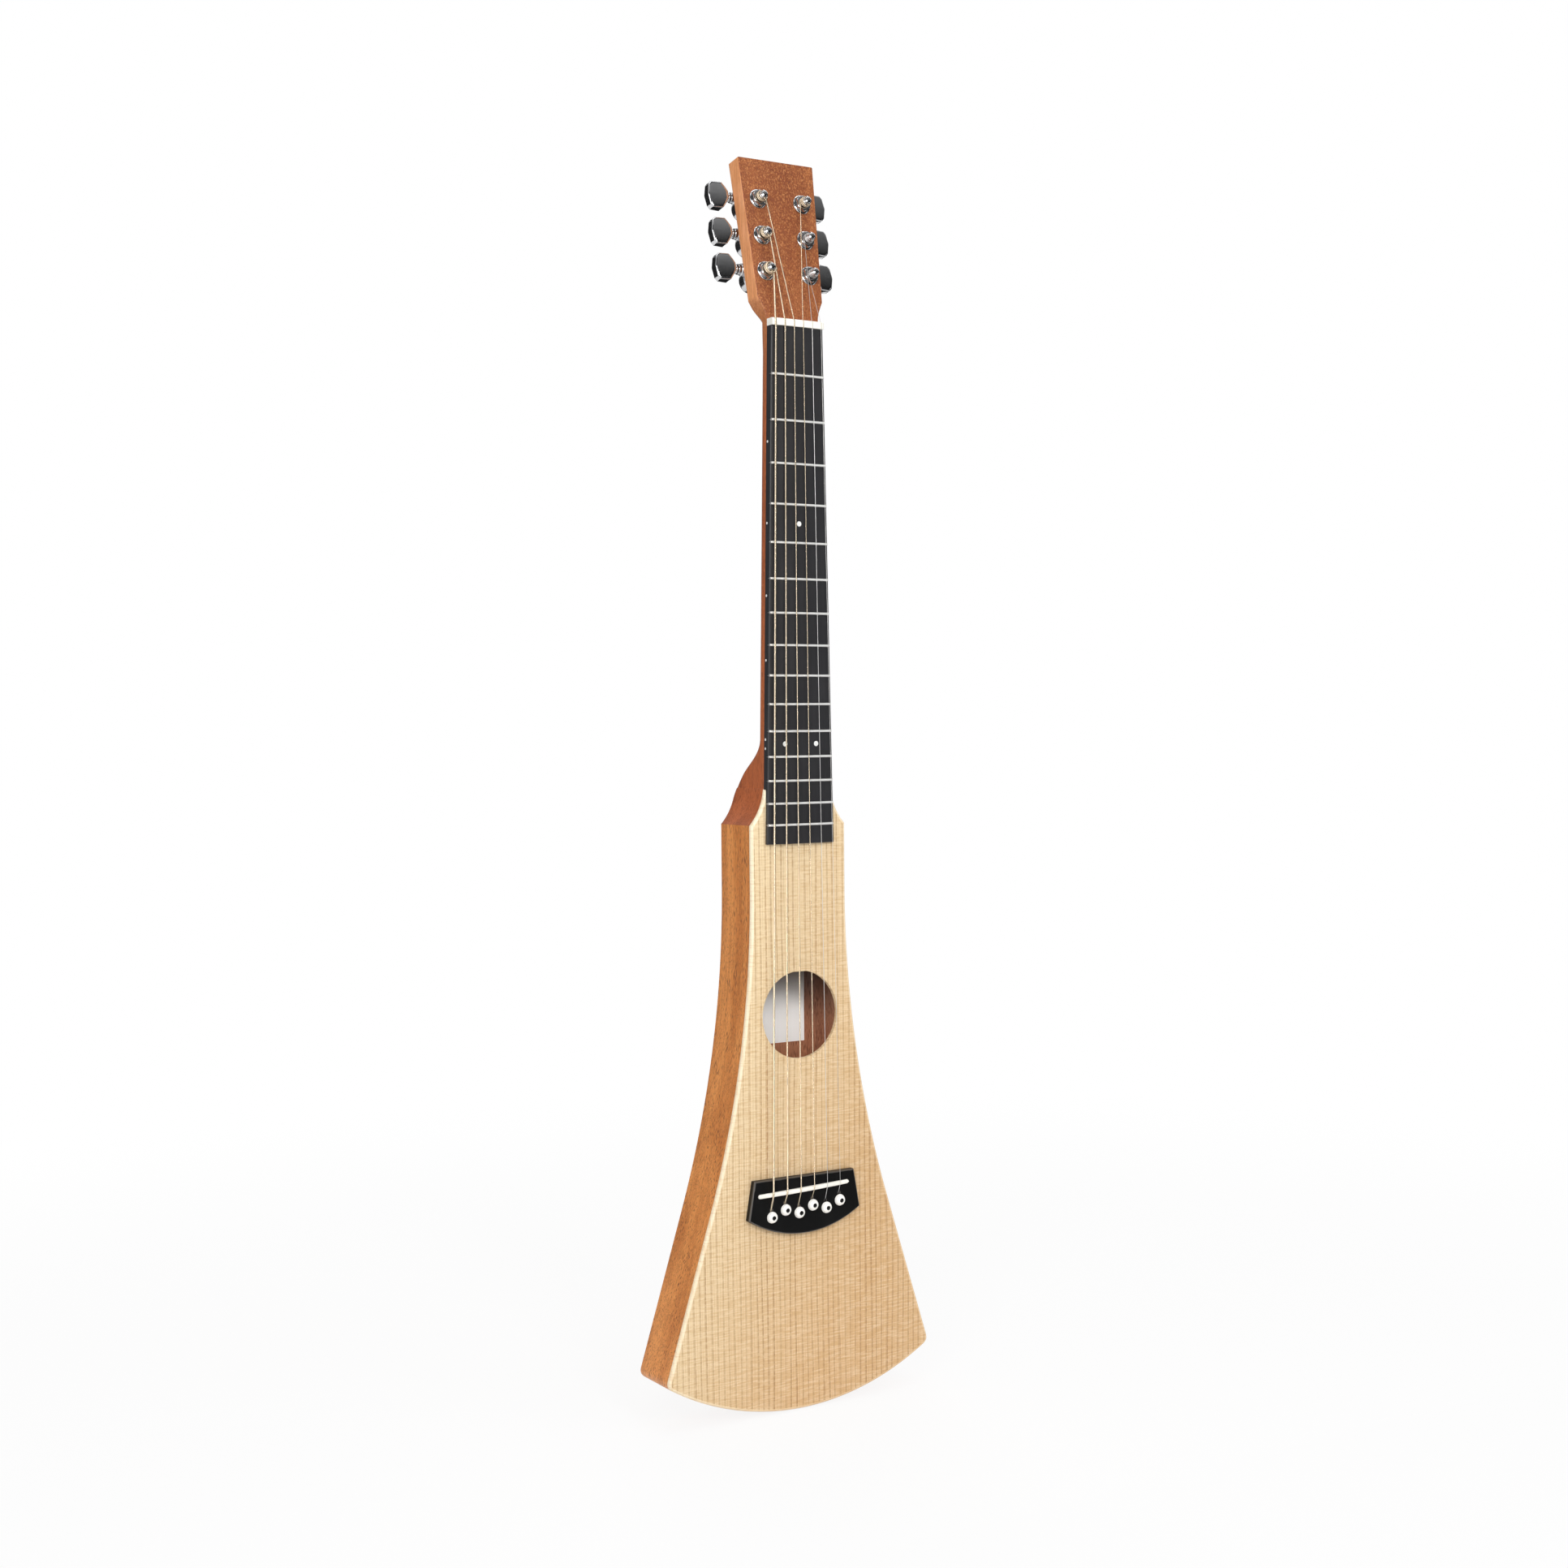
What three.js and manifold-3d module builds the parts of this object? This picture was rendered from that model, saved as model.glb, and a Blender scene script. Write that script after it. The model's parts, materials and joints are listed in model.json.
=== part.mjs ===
// A steel-string travel guitar: a slim paddle body hollowed from one block, a spruce top,
// a bolt-free mortise and tenon neck, and six sealed worm-gear tuning machines.
// Millimetres. +Z runs up the neck, the strings face -Y, and +X is the treble side.
// The origin is on the centre line where the nut meets the fretboard, on the neck's face.

import * as THREE from 'three';
import { mergeVertices } from 'three/addons/utils/BufferGeometryUtils.js';
import Module from 'manifold-3d';

const wasm = await Module();
wasm.setup();

// Driving dimensions of the instrument

const scaleLength = 609.6;
const fretCount = 15;
const nutWidth = 42.9;
const twelfthFretWidth = 53.8;
const boardLength = 367;
const boardThickness = 6.6;
const camberRadius = 406;

const topThickness = 3;
const bodyDepth = 40.7;
const shoulderDrop = 353.4;
const shoulderHalfWidth = 39.5;
const flareStart = 400;
const flareRadius = 760;
const flareAngle = THREE.MathUtils.degToRad(17.5);
const cornerDrop = 742.7;
const bodyEnd = 775;
const cornerRadius = 5;

const headLength = 119.5;
const headHalfTop = 31.5;
const headHalfLow = 27.2;
const headCornerRise = 16.6;
const headThickness = 13.8;
const headTilt = THREE.MathUtils.degToRad(10.5);

const seatGap = 0.3;
const cutOverrun = 1;

// Fretboard, frets, nut and saddle

const boardEase = 1.2;
const fretWidth = 2.2;
const fretHeight = 1;
const fretTangWidth = 0.6;
const fretTangDepth = 1.6;
const fretSlotSlack = 0.1;
const nutThickness = 5;
const nutProud = 2.2;
const nutSpread = 38;
const nutAction = 0.45;
const nutFallShare = 0.75;
const saddleThickness = 3;
const saddleLength = 76;
const saddleOffset = -1.5;
const saddleDrop = 614.9;
const saddleTop = 11;
const saddleSlope = 0.0355;
const saddleSpread = 56.7;
const saddleAction = 0.12;

// Strings: one name and one gauge each, bass to treble

const stringNames = ['low_e', 'a', 'd', 'g', 'b', 'high_e'];
const stringGauges = [1.35, 1.07, 0.81, 0.61, 0.41, 0.3];
const ballDiameter = 4;
const ballLength = 3.4;
const ballWaist = 3.2;
const ballRim = 0.5;
const ballWaistStart = 1.2;
const wrapSpan = 3.4;
const wrapGap = 0.45;
const wrapStepsPerTurn = 12;
const stringSides = 6;

// Bridge, pins, plate and brace

const bridgeThickness = 5;
const bridgeTopDrop = 605.3;
const bridgeCornerDrop = 633;
const bridgeEnd = 647;
const bridgeHalfTop = 42;
const bridgeHalfLow = 46.9;
const bridgeBevel = 1.4;
const saddleSlotDepth = 3.4;
const pinSpread = 57.2;
const pinNearRow = 12.35;
const pinFarRow = 16;
const pinHeadRadius = 4.1;
const pinCollarHeight = 1.2;
const pinDomeHeight = 2.6;
const pinHoleRadius = 2.75;
const pinShankTop = 2.4;
const pinShankTip = 2.1;
const pinShankLength = 17;
const pinGrooveWidth = 2;
const pinGrooveRadius = 0.8;
const pinStringOffset = 1.65;
const stringEntryDepth = 2;
const plateThickness = 2.5;
const plateHalfWidth = 41;
const braceDrop = 552;
const braceWidth = 7;
const braceDepth = 11;
const braceEndDepth = 3;
const braceScallop = 18;

// Neck and its heel

const neckDepthNut = 16;
const neckDepthHeel = 17;
const neckSideFlat = 3;
const heelRiseStart = 296;
const heelRiseEnd = 333;
const topEdgeDrop = 328;
const wingHalfTop = 27.9;
const wingRadius = 43;
const edgeChamfer = 1.2;
const tenonWidth = 32;
const tenonDepth = 30;
const tenonLength = 16;
const neckBlendLength = 18;

// Hollow of the body

const wallThickness = 6;
const backThickness = 4;
const coveRadius = 12;
const cavityStart = 380;
const topEdgeRound = 1.9;
const soundholeRadius = 31.4;
const soundholeDrop = 490;

// Tuning machines, measured from the post's axis on the headstock's face

const postOffset = 18.2;
const postRises = [35.6, 62.2, 89.3];
const gearTeeth = 14;
const gearCentreDistance = 7.2;
const gearPitchRadius = 4.8;
const gearWidth = 3.2;
const wormThreadHeight = 1.2;
const wormTailThinning = 0.4;
const meshClearance = 0.25;
const shaftDepth = 19;
const postRadius = 2.9;
const postCollarRadius = 2.755;
const postCapRadius = 2.32;
const postHeight = 10.6;
const postWaist = 2.5;
const postWaistHeight = 1.2;
const postCapHeight = 1.2;
const postHoleRadius = 0.54;
const postTailRadius = 2;
const postTailLength = 1.4;
const keyShaftRadius = 1.9;
const bushBoreClearance = 0.4;
const washerRadius = 7;
const washerThickness = 1;
const hexAcrossFlats = 10.6;
const hexHeight = 2.6;
const hexChamfer = 0.7;
const sleeveRadius = 4.5;
const sleeveClearance = 0.35;
const bushTailLength = 9;
const housingRadius = 8.6;
const housingDepth = 11.2;
const barrelRadius = 4.5;
const barrelInner = 8;
const barrelOuter = 9.4;
const collarLength = 2.6;
const collarRadius = 3.3;
const housingSleeve = 2;
const earReach = 12.4;
const earRadius = 2.9;
const earThickness = 1.8;
const earHoleRadius = 1.1;
const buttonStart = 15.3;
const buttonLength = 15.7;
const buttonHeight = 21;
const buttonThickness = 7.6;
const buttonBevel = 1.6;
const buttonCollarRadius = 2.9;

// Finishes

const finishes = {
  mahogany: { color: 0xa9683f, roughness: 0.55, metalness: 0 },
  spruce: { color: 0xe3c594, roughness: 0.5, metalness: 0 },
  board: { color: 0x26272b, roughness: 0.42, metalness: 0 },
  bone: { color: 0xf3efe4, roughness: 0.4, metalness: 0 },
  nickel: { color: 0xc9cacc, roughness: 0.25, metalness: 1 },
  chrome: { color: 0xb8babd, roughness: 0.12, metalness: 1 },
  bronze: { color: 0xc9a25c, roughness: 0.35, metalness: 1 },
  steel: { color: 0xcfd0d2, roughness: 0.25, metalness: 1 },
};

// Helpers: closed surfaces, joins and cuts

function closed(points, triangles) {
  let volume = 0;
  for (const [a, b, c] of triangles) {
    volume += points[a].dot(new THREE.Vector3().crossVectors(points[b], points[c]));
  }
  const facing = volume < 0 ? triangles.map(([a, b, c]) => [a, c, b]) : triangles;
  const geometry = new THREE.BufferGeometry();
  const places = points.flatMap((point) => point.toArray());
  geometry.setAttribute('position', new THREE.Float32BufferAttribute(places, 3));
  geometry.setIndex(facing.flat());
  return geometry;
}

// Joins rings of equal count into one closed skin. Each cap is triangulated in its flat form.
function loft(sections, place) {
  const count = sections[0].outline.length;
  const points = sections.flatMap((section) => section.outline.map((p) => place(p, section)));
  const triangles = [];
  for (let row = 0; row + 1 < sections.length; row += 1) {
    for (let i = 0; i < count; i += 1) {
      const j = (i + 1) % count;
      const [a, b] = [row * count + i, row * count + j];
      triangles.push([a, b, b + count], [a, b + count, a + count]);
    }
  }
  const last = (sections.length - 1) * count;
  for (const [start, flip] of [[0, true], [last, false]]) {
    const flat = sections[start / count].outline.map(([x, y]) => new THREE.Vector2(x, y));
    const winding = THREE.ShapeUtils.isClockWise(flat);
    for (const face of THREE.ShapeUtils.triangulateShape(flat, [])) {
      const [a, b, c] = face.map((i) => i + start);
      triangles.push(flip !== winding ? [a, c, b] : [a, b, c]);
    }
  }
  return closed(points, triangles);
}

function solid(geometry) {
  const bare = geometry.clone();
  bare.deleteAttribute('normal');
  bare.deleteAttribute('uv');
  const merged = mergeVertices(bare);
  return new wasm.Manifold(new wasm.Mesh({
    numProp: 3,
    vertProperties: Float32Array.from(merged.attributes.position.array),
    triVerts: Uint32Array.from(merged.index.array),
  }));
}

function join(...pieces) {
  return pieces.reduce((whole, piece) => whole.add(piece));
}

function cut(whole, ...tools) {
  return tools.reduce((rest, tool) => rest.subtract(tool), whole);
}

function surface(piece) {
  const mesh = piece.getMesh();
  const geometry = new THREE.BufferGeometry();
  geometry.setAttribute('position', new THREE.Float32BufferAttribute(mesh.vertProperties, 3));
  geometry.setIndex(Array.from(mesh.triVerts));
  return geometry;
}

function block([x0, x1], [y0, y1], [z0, z1]) {
  const box = new THREE.BoxGeometry(x1 - x0, y1 - y0, z1 - z0);
  return solid(box.translate((x0 + x1) / 2, (y0 + y1) / 2, (z0 + z1) / 2));
}

// A round bar from one point to another along one of the three directions.
function bar(direction, from, to, radius, sides) {
  const length = to.distanceTo(from);
  const round = new THREE.CylinderGeometry(radius, radius, length, sides);
  if (direction === 'x') round.rotateZ(Math.PI / 2);
  if (direction === 'z') round.rotateX(Math.PI / 2);
  const middle = from.clone().add(to).divideScalar(2);
  return solid(round.translate(middle.x, middle.y, middle.z));
}

function point(x, y, z) {
  return new THREE.Vector3(x, y, z);
}

// A turned piece: [radius, height] pairs about the local Z axis.
function turned(profile, sides) {
  const outline = profile.map(([r, h]) => new THREE.Vector2(r, h));
  const lathe = new THREE.LatheGeometry(outline, sides);
  const geometry = mergeVertices(lathe.deleteAttribute('normal').deleteAttribute('uv'));
  const place = geometry.attributes.position;
  const points = Array.from({ length: place.count }, (_, i) => (
    point(place.getX(i), -place.getZ(i), place.getY(i))));
  const triangles = [];
  for (let i = 0; i < geometry.index.count; i += 3) {
    const face = [0, 1, 2].map((k) => geometry.index.getX(i + k));
    if (new Set(face).size === 3) triangles.push(face);
  }
  return solid(closed(points, triangles));
}

// A flat outline in X and Z, given thickness along Y from the front to the back.
function plate(outline, front, back) {
  const sections = [{ outline, y: front }, { outline, y: back }];
  return solid(loft(sections, ([x, z], { y }) => point(x, y, z)));
}

// A round tube along a list of points, with end caps, turned as little as possible on its way.
function tube(path, radius, sides) {
  const tangent = (i) => path[Math.min(i + 1, path.length - 1)].clone()
    .sub(path[Math.max(i - 1, 0)]).normalize();
  let side = new THREE.Vector3(1, 0, 0);
  const rings = path.map((centre, i) => {
    const along = tangent(i);
    side = side.sub(along.clone().multiplyScalar(side.dot(along))).normalize();
    const up = new THREE.Vector3().crossVectors(along, side);
    return { centre, side: side.clone(), up };
  });
  const circle = Array.from({ length: sides }, (_, k) => {
    const turn = (2 * Math.PI * k) / sides;
    return [Math.cos(turn), Math.sin(turn)];
  });
  const sections = rings.map((ring) => ({ outline: circle, ring }));
  return loft(sections, ([c, s], { ring }) => ring.centre.clone()
    .addScaledVector(ring.side, c * radius).addScaledVector(ring.up, s * radius));
}

function mix(a, b, share) {
  return a + (b - a) * share;
}

function smooth(share) {
  const t = Math.min(Math.max(share, 0), 1);
  return t * t * (3 - 2 * t);
}

function mirrored(outline) {
  return outline.concat(outline.slice().reverse().filter(([x]) => x > 0).map(([x, z]) => [-x, z]));
}

// Shared rules of the layout

const fretDrop = (n) => scaleLength * (1 - 2 ** (-n / 12));
const twelfthDrop = fretDrop(12);
const boardHalf = (drop) => mix(nutWidth, twelfthFretWidth, drop / twelfthDrop) / 2;
const camberDrop = (x) => camberRadius - Math.sqrt(camberRadius ** 2 - x ** 2);
const boardTop = (x) => -(boardThickness - camberDrop(x));
const stringShares = stringNames.map((_, i) => i / (stringNames.length - 1) - 1 / 2);
const saddleLine = (x) => -saddleDrop + saddleSlope * x;
const bridgeTop = -(topThickness + bridgeThickness);

// Outline of the body's right half, drawn in by an inset, from its top corner to its lowest point
function bodyHalf(inset, top) {
  const flareSteps = 7;
  const endSteps = 8;
  const bend = (angle) => [
    shoulderHalfWidth + flareRadius - (flareRadius + inset) * Math.cos(angle),
    -flareStart - (flareRadius + inset) * Math.sin(angle),
  ];
  const [sideX, sideZ] = bend(flareAngle);
  const slope = Math.tan(flareAngle);
  const outerSide = shoulderHalfWidth + flareRadius * (1 - Math.cos(flareAngle));
  const sideDrop = flareStart + flareRadius * Math.sin(flareAngle);
  const cornerHalf = outerSide + (cornerDrop - sideDrop) * slope;
  const sagitta = bodyEnd - cornerDrop;
  const endRadius = (cornerHalf ** 2 + sagitta ** 2) / (2 * sagitta);
  const endCentre = endRadius - bodyEnd;
  const radius = endRadius - inset;
  // Where the straight side, drawn in, meets the end's arc, drawn in
  const a = 1 + slope ** 2;
  const c = sideX ** 2 + (sideZ - endCentre) ** 2 - radius ** 2;
  const half = sideX * slope - (sideZ - endCentre);
  const run = (-half + Math.sqrt(half ** 2 - a * c)) / a;
  const corner = [sideX + run * slope, sideZ - run];
  const ease = Math.max(cornerRadius - inset, cornerRadius / 2);
  const startTurn = Math.asin(corner[0] / radius) - ease / radius;
  const sideEnd = [corner[0] - ease * Math.sin(flareAngle), corner[1] + ease * Math.cos(flareAngle)];
  const arcStart = [radius * Math.sin(startTurn), endCentre - radius * Math.cos(startTurn)];
  const rounded = [0, 1 / 3, 2 / 3, 1].map((t) => [0, 1].map((k) => (
    (1 - t) ** 2 * sideEnd[k] + 2 * t * (1 - t) * corner[k] + t ** 2 * arcStart[k])));
  const flare = Array.from({ length: flareSteps }, (_, i) => bend((flareAngle * i) / (flareSteps - 1)));
  const end = Array.from({ length: endSteps }, (_, i) => {
    const turn = startTurn * (1 - (i + 1) / endSteps);
    return [radius * Math.sin(turn), endCentre - radius * Math.cos(turn)];
  });
  return [[shoulderHalfWidth - inset, top], ...flare, ...rounded, ...end];
}

// The curved edge of the top's wings, shared with the heel: half width at a drop below the nut
function wingHalf(drop) {
  const rise = shoulderDrop - topEdgeDrop;
  const reach = shoulderHalfWidth - wingHalfTop;
  const chord = Math.hypot(rise, reach);
  const away = Math.sqrt(wingRadius ** 2 - (chord / 2) ** 2);
  const centreX = (wingHalfTop + shoulderHalfWidth) / 2 + (away * rise) / chord;
  const centreDrop = (topEdgeDrop + shoulderDrop) / 2 - (away * reach) / chord;
  return centreX - Math.sqrt(wingRadius ** 2 - (drop - centreDrop) ** 2);
}

const wingSteps = 6;
const wingDrops = Array.from({ length: wingSteps + 1 }, (_, i) => (
  mix(topEdgeDrop, shoulderDrop, i / wingSteps)));

// Body: one block, hollowed from the front with a cove where its floor meets its sides

function bodyShell() {
  const levels = [[0, 0], [bodyDepth - edgeChamfer, 0], [bodyDepth, edgeChamfer]];
  const outer = levels.map(([y, inset]) => ({ y, outline: mirrored(bodyHalf(inset, -shoulderDrop)) }));
  const floor = bodyDepth - backThickness;
  const coveTurns = [0, 1 / 3, 2 / 3, 1].map((share) => (share * Math.PI) / 2);
  const coves = coveTurns.map((turn) => [
    floor - coveRadius * (1 - Math.sin(turn)), wallThickness + coveRadius * (1 - Math.cos(turn))]);
  const hollow = [[-cutOverrun, wallThickness], ...coves].map(([y, inset]) => ({
    y, outline: mirrored(bodyHalf(inset, -cavityStart + wallThickness - inset)) }));
  const place = ([x, z], { y }) => point(x, y, z);
  const mortise = block(
    [-tenonWidth / 2 - seatGap, tenonWidth / 2 + seatGap],
    [-cutOverrun, tenonDepth + seatGap],
    [-shoulderDrop - tenonLength - seatGap, -shoulderDrop + cutOverrun]);
  return cut(solid(loft(outer, place)), solid(loft(hollow, place)), mortise);
}

// Soundboard: the same outline with its two wings, a soundhole and the pins' holes

function soundboard() {
  const wing = wingDrops.map((drop) => [wingHalf(drop), -drop]);
  const half = (inset) => {
    const drawn = wing.map(([x, z]) => [x - inset, z - (z === -topEdgeDrop ? inset : 0)]);
    return [...drawn, ...bodyHalf(inset, -shoulderDrop).slice(1)];
  };
  const roundTurns = [0, 1 / 2, 1].map((share) => (share * Math.PI) / 2);
  const edge = roundTurns.map((turn) => [
    -topThickness + topEdgeRound * (1 - Math.cos(turn)), topEdgeRound * (1 - Math.sin(turn))]);
  const sections = [...edge, [0, 0]].map(([y, inset]) => ({ y, outline: mirrored(half(inset)) }));
  const plank = solid(loft(sections, ([x, z], { y }) => point(x, y, z)));
  const soundholeSides = 36;
  const hole = bar('y', point(0, -topThickness - cutOverrun, -soundholeDrop),
    point(0, cutOverrun, -soundholeDrop), soundholeRadius, soundholeSides);
  return cut(plank, hole, ...pinHoles(-topThickness, 0));
}

// Neck, heel and headstock: one loft of rings along the face, upright below and tilted above

// One ring: half width, depth, and how square it is, from a D shape at 0 to a box at 1
function neckRing(half, depth, square) {
  const sideSteps = 3;
  const backSteps = 6;
  const arc = Array.from({ length: 2 * sideSteps + 2 * backSteps + 1 }, (_, i) => i);
  const last = arc.length - 1;
  const flat = Math.min(neckSideFlat, depth / 2);
  const boxed = arc.map((i) => {
    const k = Math.min(i, last - i);
    const sign = i <= last / 2 ? 1 : -1;
    if (k < sideSteps) return [sign * half, (k / (sideSteps - 1)) * (depth - edgeChamfer)];
    const across = (k - sideSteps) / (last / 2 - sideSteps);
    return [sign * (half - edgeChamfer) * (1 - across), depth];
  });
  const rounded = arc.map((i) => {
    if (i === 0 || i === last) return [i === 0 ? half : -half, 0];
    const turn = (Math.PI * (i - 1)) / (last - 2);
    return [half * Math.cos(turn), flat + (depth - flat) * Math.sin(turn)];
  });
  return arc.map((i) => [0, 1].map((k) => mix(rounded[i][k], boxed[i][k], square)));
}

// At the nut the section is already part squared, part thinned and part turned upright
const squareAtNut = 0.25;
const thinAtNut = 0.4;
const uprightAtNut = 0.2;
const blendShares = [0.25, 0.5, 0.75, 1];

function neckStations() {
  const stations = [];
  const add = (station) => stations.push({
    ...station, outline: neckRing(station.half, station.depth, station.square) });
  const headHalf = (rise) => {
    if (rise >= headCornerRise) {
      return mix(headHalfLow, headHalfTop, (rise - headCornerRise) / (headLength - headCornerRise));
    }
    const sweepPower = 1.6;
    return mix(nutWidth / 2, headHalfLow, (Math.max(rise, 0) / headCornerRise) ** sweepPower);
  };
  const sweepShares = [1, 0.85, 0.7, 0.55, 0.4, 0.27, 0.14, 0];
  const rises = [headLength, ...sweepShares.map((share) => share * headCornerRise)];
  for (const rise of rises) {
    const square = smooth(squareAtNut + rise / headCornerRise);
    const depth = mix(neckDepthNut, headThickness, smooth(thinAtNut + rise / headCornerRise));
    add({ half: headHalf(rise), depth, square, tilt: headTilt,
      y: rise * Math.sin(headTilt), z: nutThickness + rise * Math.cos(headTilt) });
  }
  for (const share of blendShares) {
    const drop = share * neckBlendLength;
    const atNut = mix(neckDepthNut, headThickness, smooth(thinAtNut));
    const tilt = headTilt * (1 - smooth(mix(uprightAtNut, 1, share)));
    add({ half: boardHalf(drop), depth: mix(atNut, neckDepthNut, smooth(share)),
      square: smooth(squareAtNut) * (1 - share), tilt, y: 0, z: -drop });
  }
  const heelSteps = 9;
  const leastStep = 1;
  const heelDrops = Array.from({ length: heelSteps }, (_, i) => (
    mix(heelRiseStart, heelRiseEnd, i / (heelSteps - 1)))).filter((drop) => drop < topEdgeDrop - leastStep);
  const straightShares = [1 / 3, 2 / 3];
  const straightDrops = straightShares.map((share) => mix(neckBlendLength, heelRiseStart, share));
  for (const drop of [...straightDrops, ...heelDrops, ...wingDrops]) {
    const rise = smooth((drop - heelRiseStart) / (heelRiseEnd - heelRiseStart));
    const taper = mix(neckDepthNut, neckDepthHeel, Math.min(drop / heelRiseStart, 1));
    const half = drop < topEdgeDrop ? boardHalf(drop) : wingHalf(drop);
    add({ half, depth: mix(taper, bodyDepth, rise), square: smooth(rise), tilt: 0, y: 0, z: -drop });
  }
  return stations;
}

function neck() {
  const place = ([x, depth], { y, z, tilt }) => (
    point(x, y + depth * Math.cos(tilt), z - depth * Math.sin(tilt)));
  const stock = solid(loft(neckStations(), place));
  const tenon = block([-tenonWidth / 2, tenonWidth / 2], [0, tenonDepth],
    [-shoulderDrop - tenonLength, -shoulderDrop + cutOverrun]);
  const boreSides = 12;
  const bores = tuners().map(({ x, rise }) => inHead(
    bar('z', point(x, rise, -headThickness - cutOverrun), point(x, rise, cutOverrun),
      sleeveRadius + sleeveClearance, boreSides)));
  return cut(join(stock, tenon), ...bores);
}

// The headstock's own directions: X across, Y up its face, Z out of its face
const headTurn = new THREE.Matrix4().makeRotationX(Math.PI / 2 - headTilt);
headTurn.setPosition(0, 0, nutThickness);

function inHead(piece) {
  return solid(surface(piece).applyMatrix4(headTurn));
}

function tuners() {
  const rises = [...postRises, ...postRises.slice().reverse()];
  return stringNames.map((name, i) => {
    const side = i < stringNames.length / 2 ? -1 : 1;
    return { name, side, x: side * postOffset, rise: rises[i], gauge: stringGauges[i] };
  });
}

// Fretboard, with a camber, slots for the frets and a rebate where it lies on the soundboard

const camberShares = [1, 0.5, 0];

function boardOutline(half, lift) {
  const flat = half - boardEase;
  const crown = camberShares.map((share) => [share * flat, boardTop(share * flat) - lift]);
  return mirrored([[half, 0], [half, boardTop(half) - lift + boardEase / 2], ...crown]);
}

function fretboard() {
  const ends = [0, -boardLength];
  const sections = ends.map((z) => ({ outline: boardOutline(boardHalf(-z), 0), z }));
  const wood = solid(loft(sections, ([x, y], { z }) => point(x, y, z)));
  const wide = wingHalfTop + cutOverrun;
  const rebate = block([-wide, wide], [-topThickness, cutOverrun],
    [-boardLength - cutOverrun, -topEdgeDrop + seatGap]);
  const slots = frets().map(({ half, z }) => {
    const reach = fretTangWidth / 2 + fretSlotSlack;
    const bottom = boardTop(half) + fretTangDepth + fretSlotSlack;
    return block([-wide, wide], [-boardThickness - cutOverrun, bottom], [z - reach, z + reach]);
  });
  return cut(wood, rebate, ...slots);
}

function frets() {
  return Array.from({ length: fretCount }, (_, i) => (
    { number: i + 1, z: -fretDrop(i + 1), half: boardHalf(fretDrop(i + 1)) }));
}

function fret({ half, z }) {
  const endHeightShare = 0.2;
  const tipShare = 0.9;
  const flat = half - boardEase;
  const seat = fretSlotSlack / 4;
  const bead = [[-0.5, 0], [-0.26, 0.86], [0.26, 0.86], [0.5, 0]];
  const acrossShares = [-1, -0.5, 0, 0.5, 1];
  const inner = acrossShares.map((share) => [share * flat, 1, share * flat]);
  const tip = flat + boardEase * tipShare;
  const stations = [[-tip, endHeightShare, -flat], ...inner, [tip, endHeightShare, flat]];
  const sections = stations.map(([x, height, under]) => ({ outline: bead, x, height, under }));
  const crown = solid(loft(sections, ([across, up], { x, height, under }) => (
    point(x, boardTop(under) - seat - up * height * fretHeight, z + across * fretWidth))));
  const foot = boardTop(half) + fretTangDepth;
  const tangSections = [-1, 0, 1].map((share) => {
    const x = share * flat;
    const head = boardTop(x) - fretHeight / 3;
    const side = fretTangWidth / 2;
    return { x, outline: [[-side, foot], [-side, head], [side, head], [side, foot]] };
  });
  const tang = solid(loft(tangSections, ([across, y], { x }) => point(x, y, z + across)));
  return join(crown, tang);
}

// Nut and saddle, and where each string crosses them

function stringPlaces() {
  return stringNames.map((name, i) => {
    const gauge = stringGauges[i];
    const nutX = stringShares[i] * nutSpread;
    const saddleX = stringShares[i] * saddleSpread;
    const pinX = stringShares[i] * pinSpread;
    const row = i % 2 === 0 ? pinFarRow : pinNearRow;
    const pinZ = saddleLine(pinX) - row;
    return {
      name, gauge, nutX, saddleX, pinX, pinZ,
      nutY: boardTop(nutX) - fretHeight - nutAction - gauge / 2,
      saddleY: -(saddleTop - camberDrop(saddleX)) - saddleAction - gauge / 2,
      entryZ: pinZ + pinStringOffset,
      ballZ: pinZ + pinShankTop + seatGap + ballDiameter / 2,
      entryY: bridgeTop + stringEntryDepth,
    };
  });
}

// A prism with its outline in Z and Y, between two places across
function crosswise(outline, x0, x1) {
  const sections = [{ outline, x: x0 }, { outline, x: x1 }];
  return solid(loft(sections, ([z, y], { x }) => point(x, y, z)));
}

function nut() {
  const backRound = 0.9;
  const levels = [[0, 0], [nutThickness - backRound, 0], [nutThickness, backRound]];
  const sections = levels.map(([z, drop]) => (
    { outline: boardOutline(nutWidth / 2, nutProud - drop), z }));
  const bone = solid(loft(sections, ([x, y], { z }) => point(x, y, z)));
  const slots = stringPlaces().map(({ nutX, nutY, gauge }) => {
    const slack = seatGap / 2;
    const reach = gauge / 2 + slack;
    const slope = Math.tan(headTilt);
    const [front, back] = [-cutOverrun, nutThickness + cutOverrun];
    const floor = nutY + reach;
    const open = nutY - nutProud;
    const outline = [[front, open], [front, floor], [0, floor], [back, floor + slope * back], [back, open]];
    return crosswise(outline, nutX - reach, nutX + reach);
  });
  return cut(bone, ...slots);
}

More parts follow.
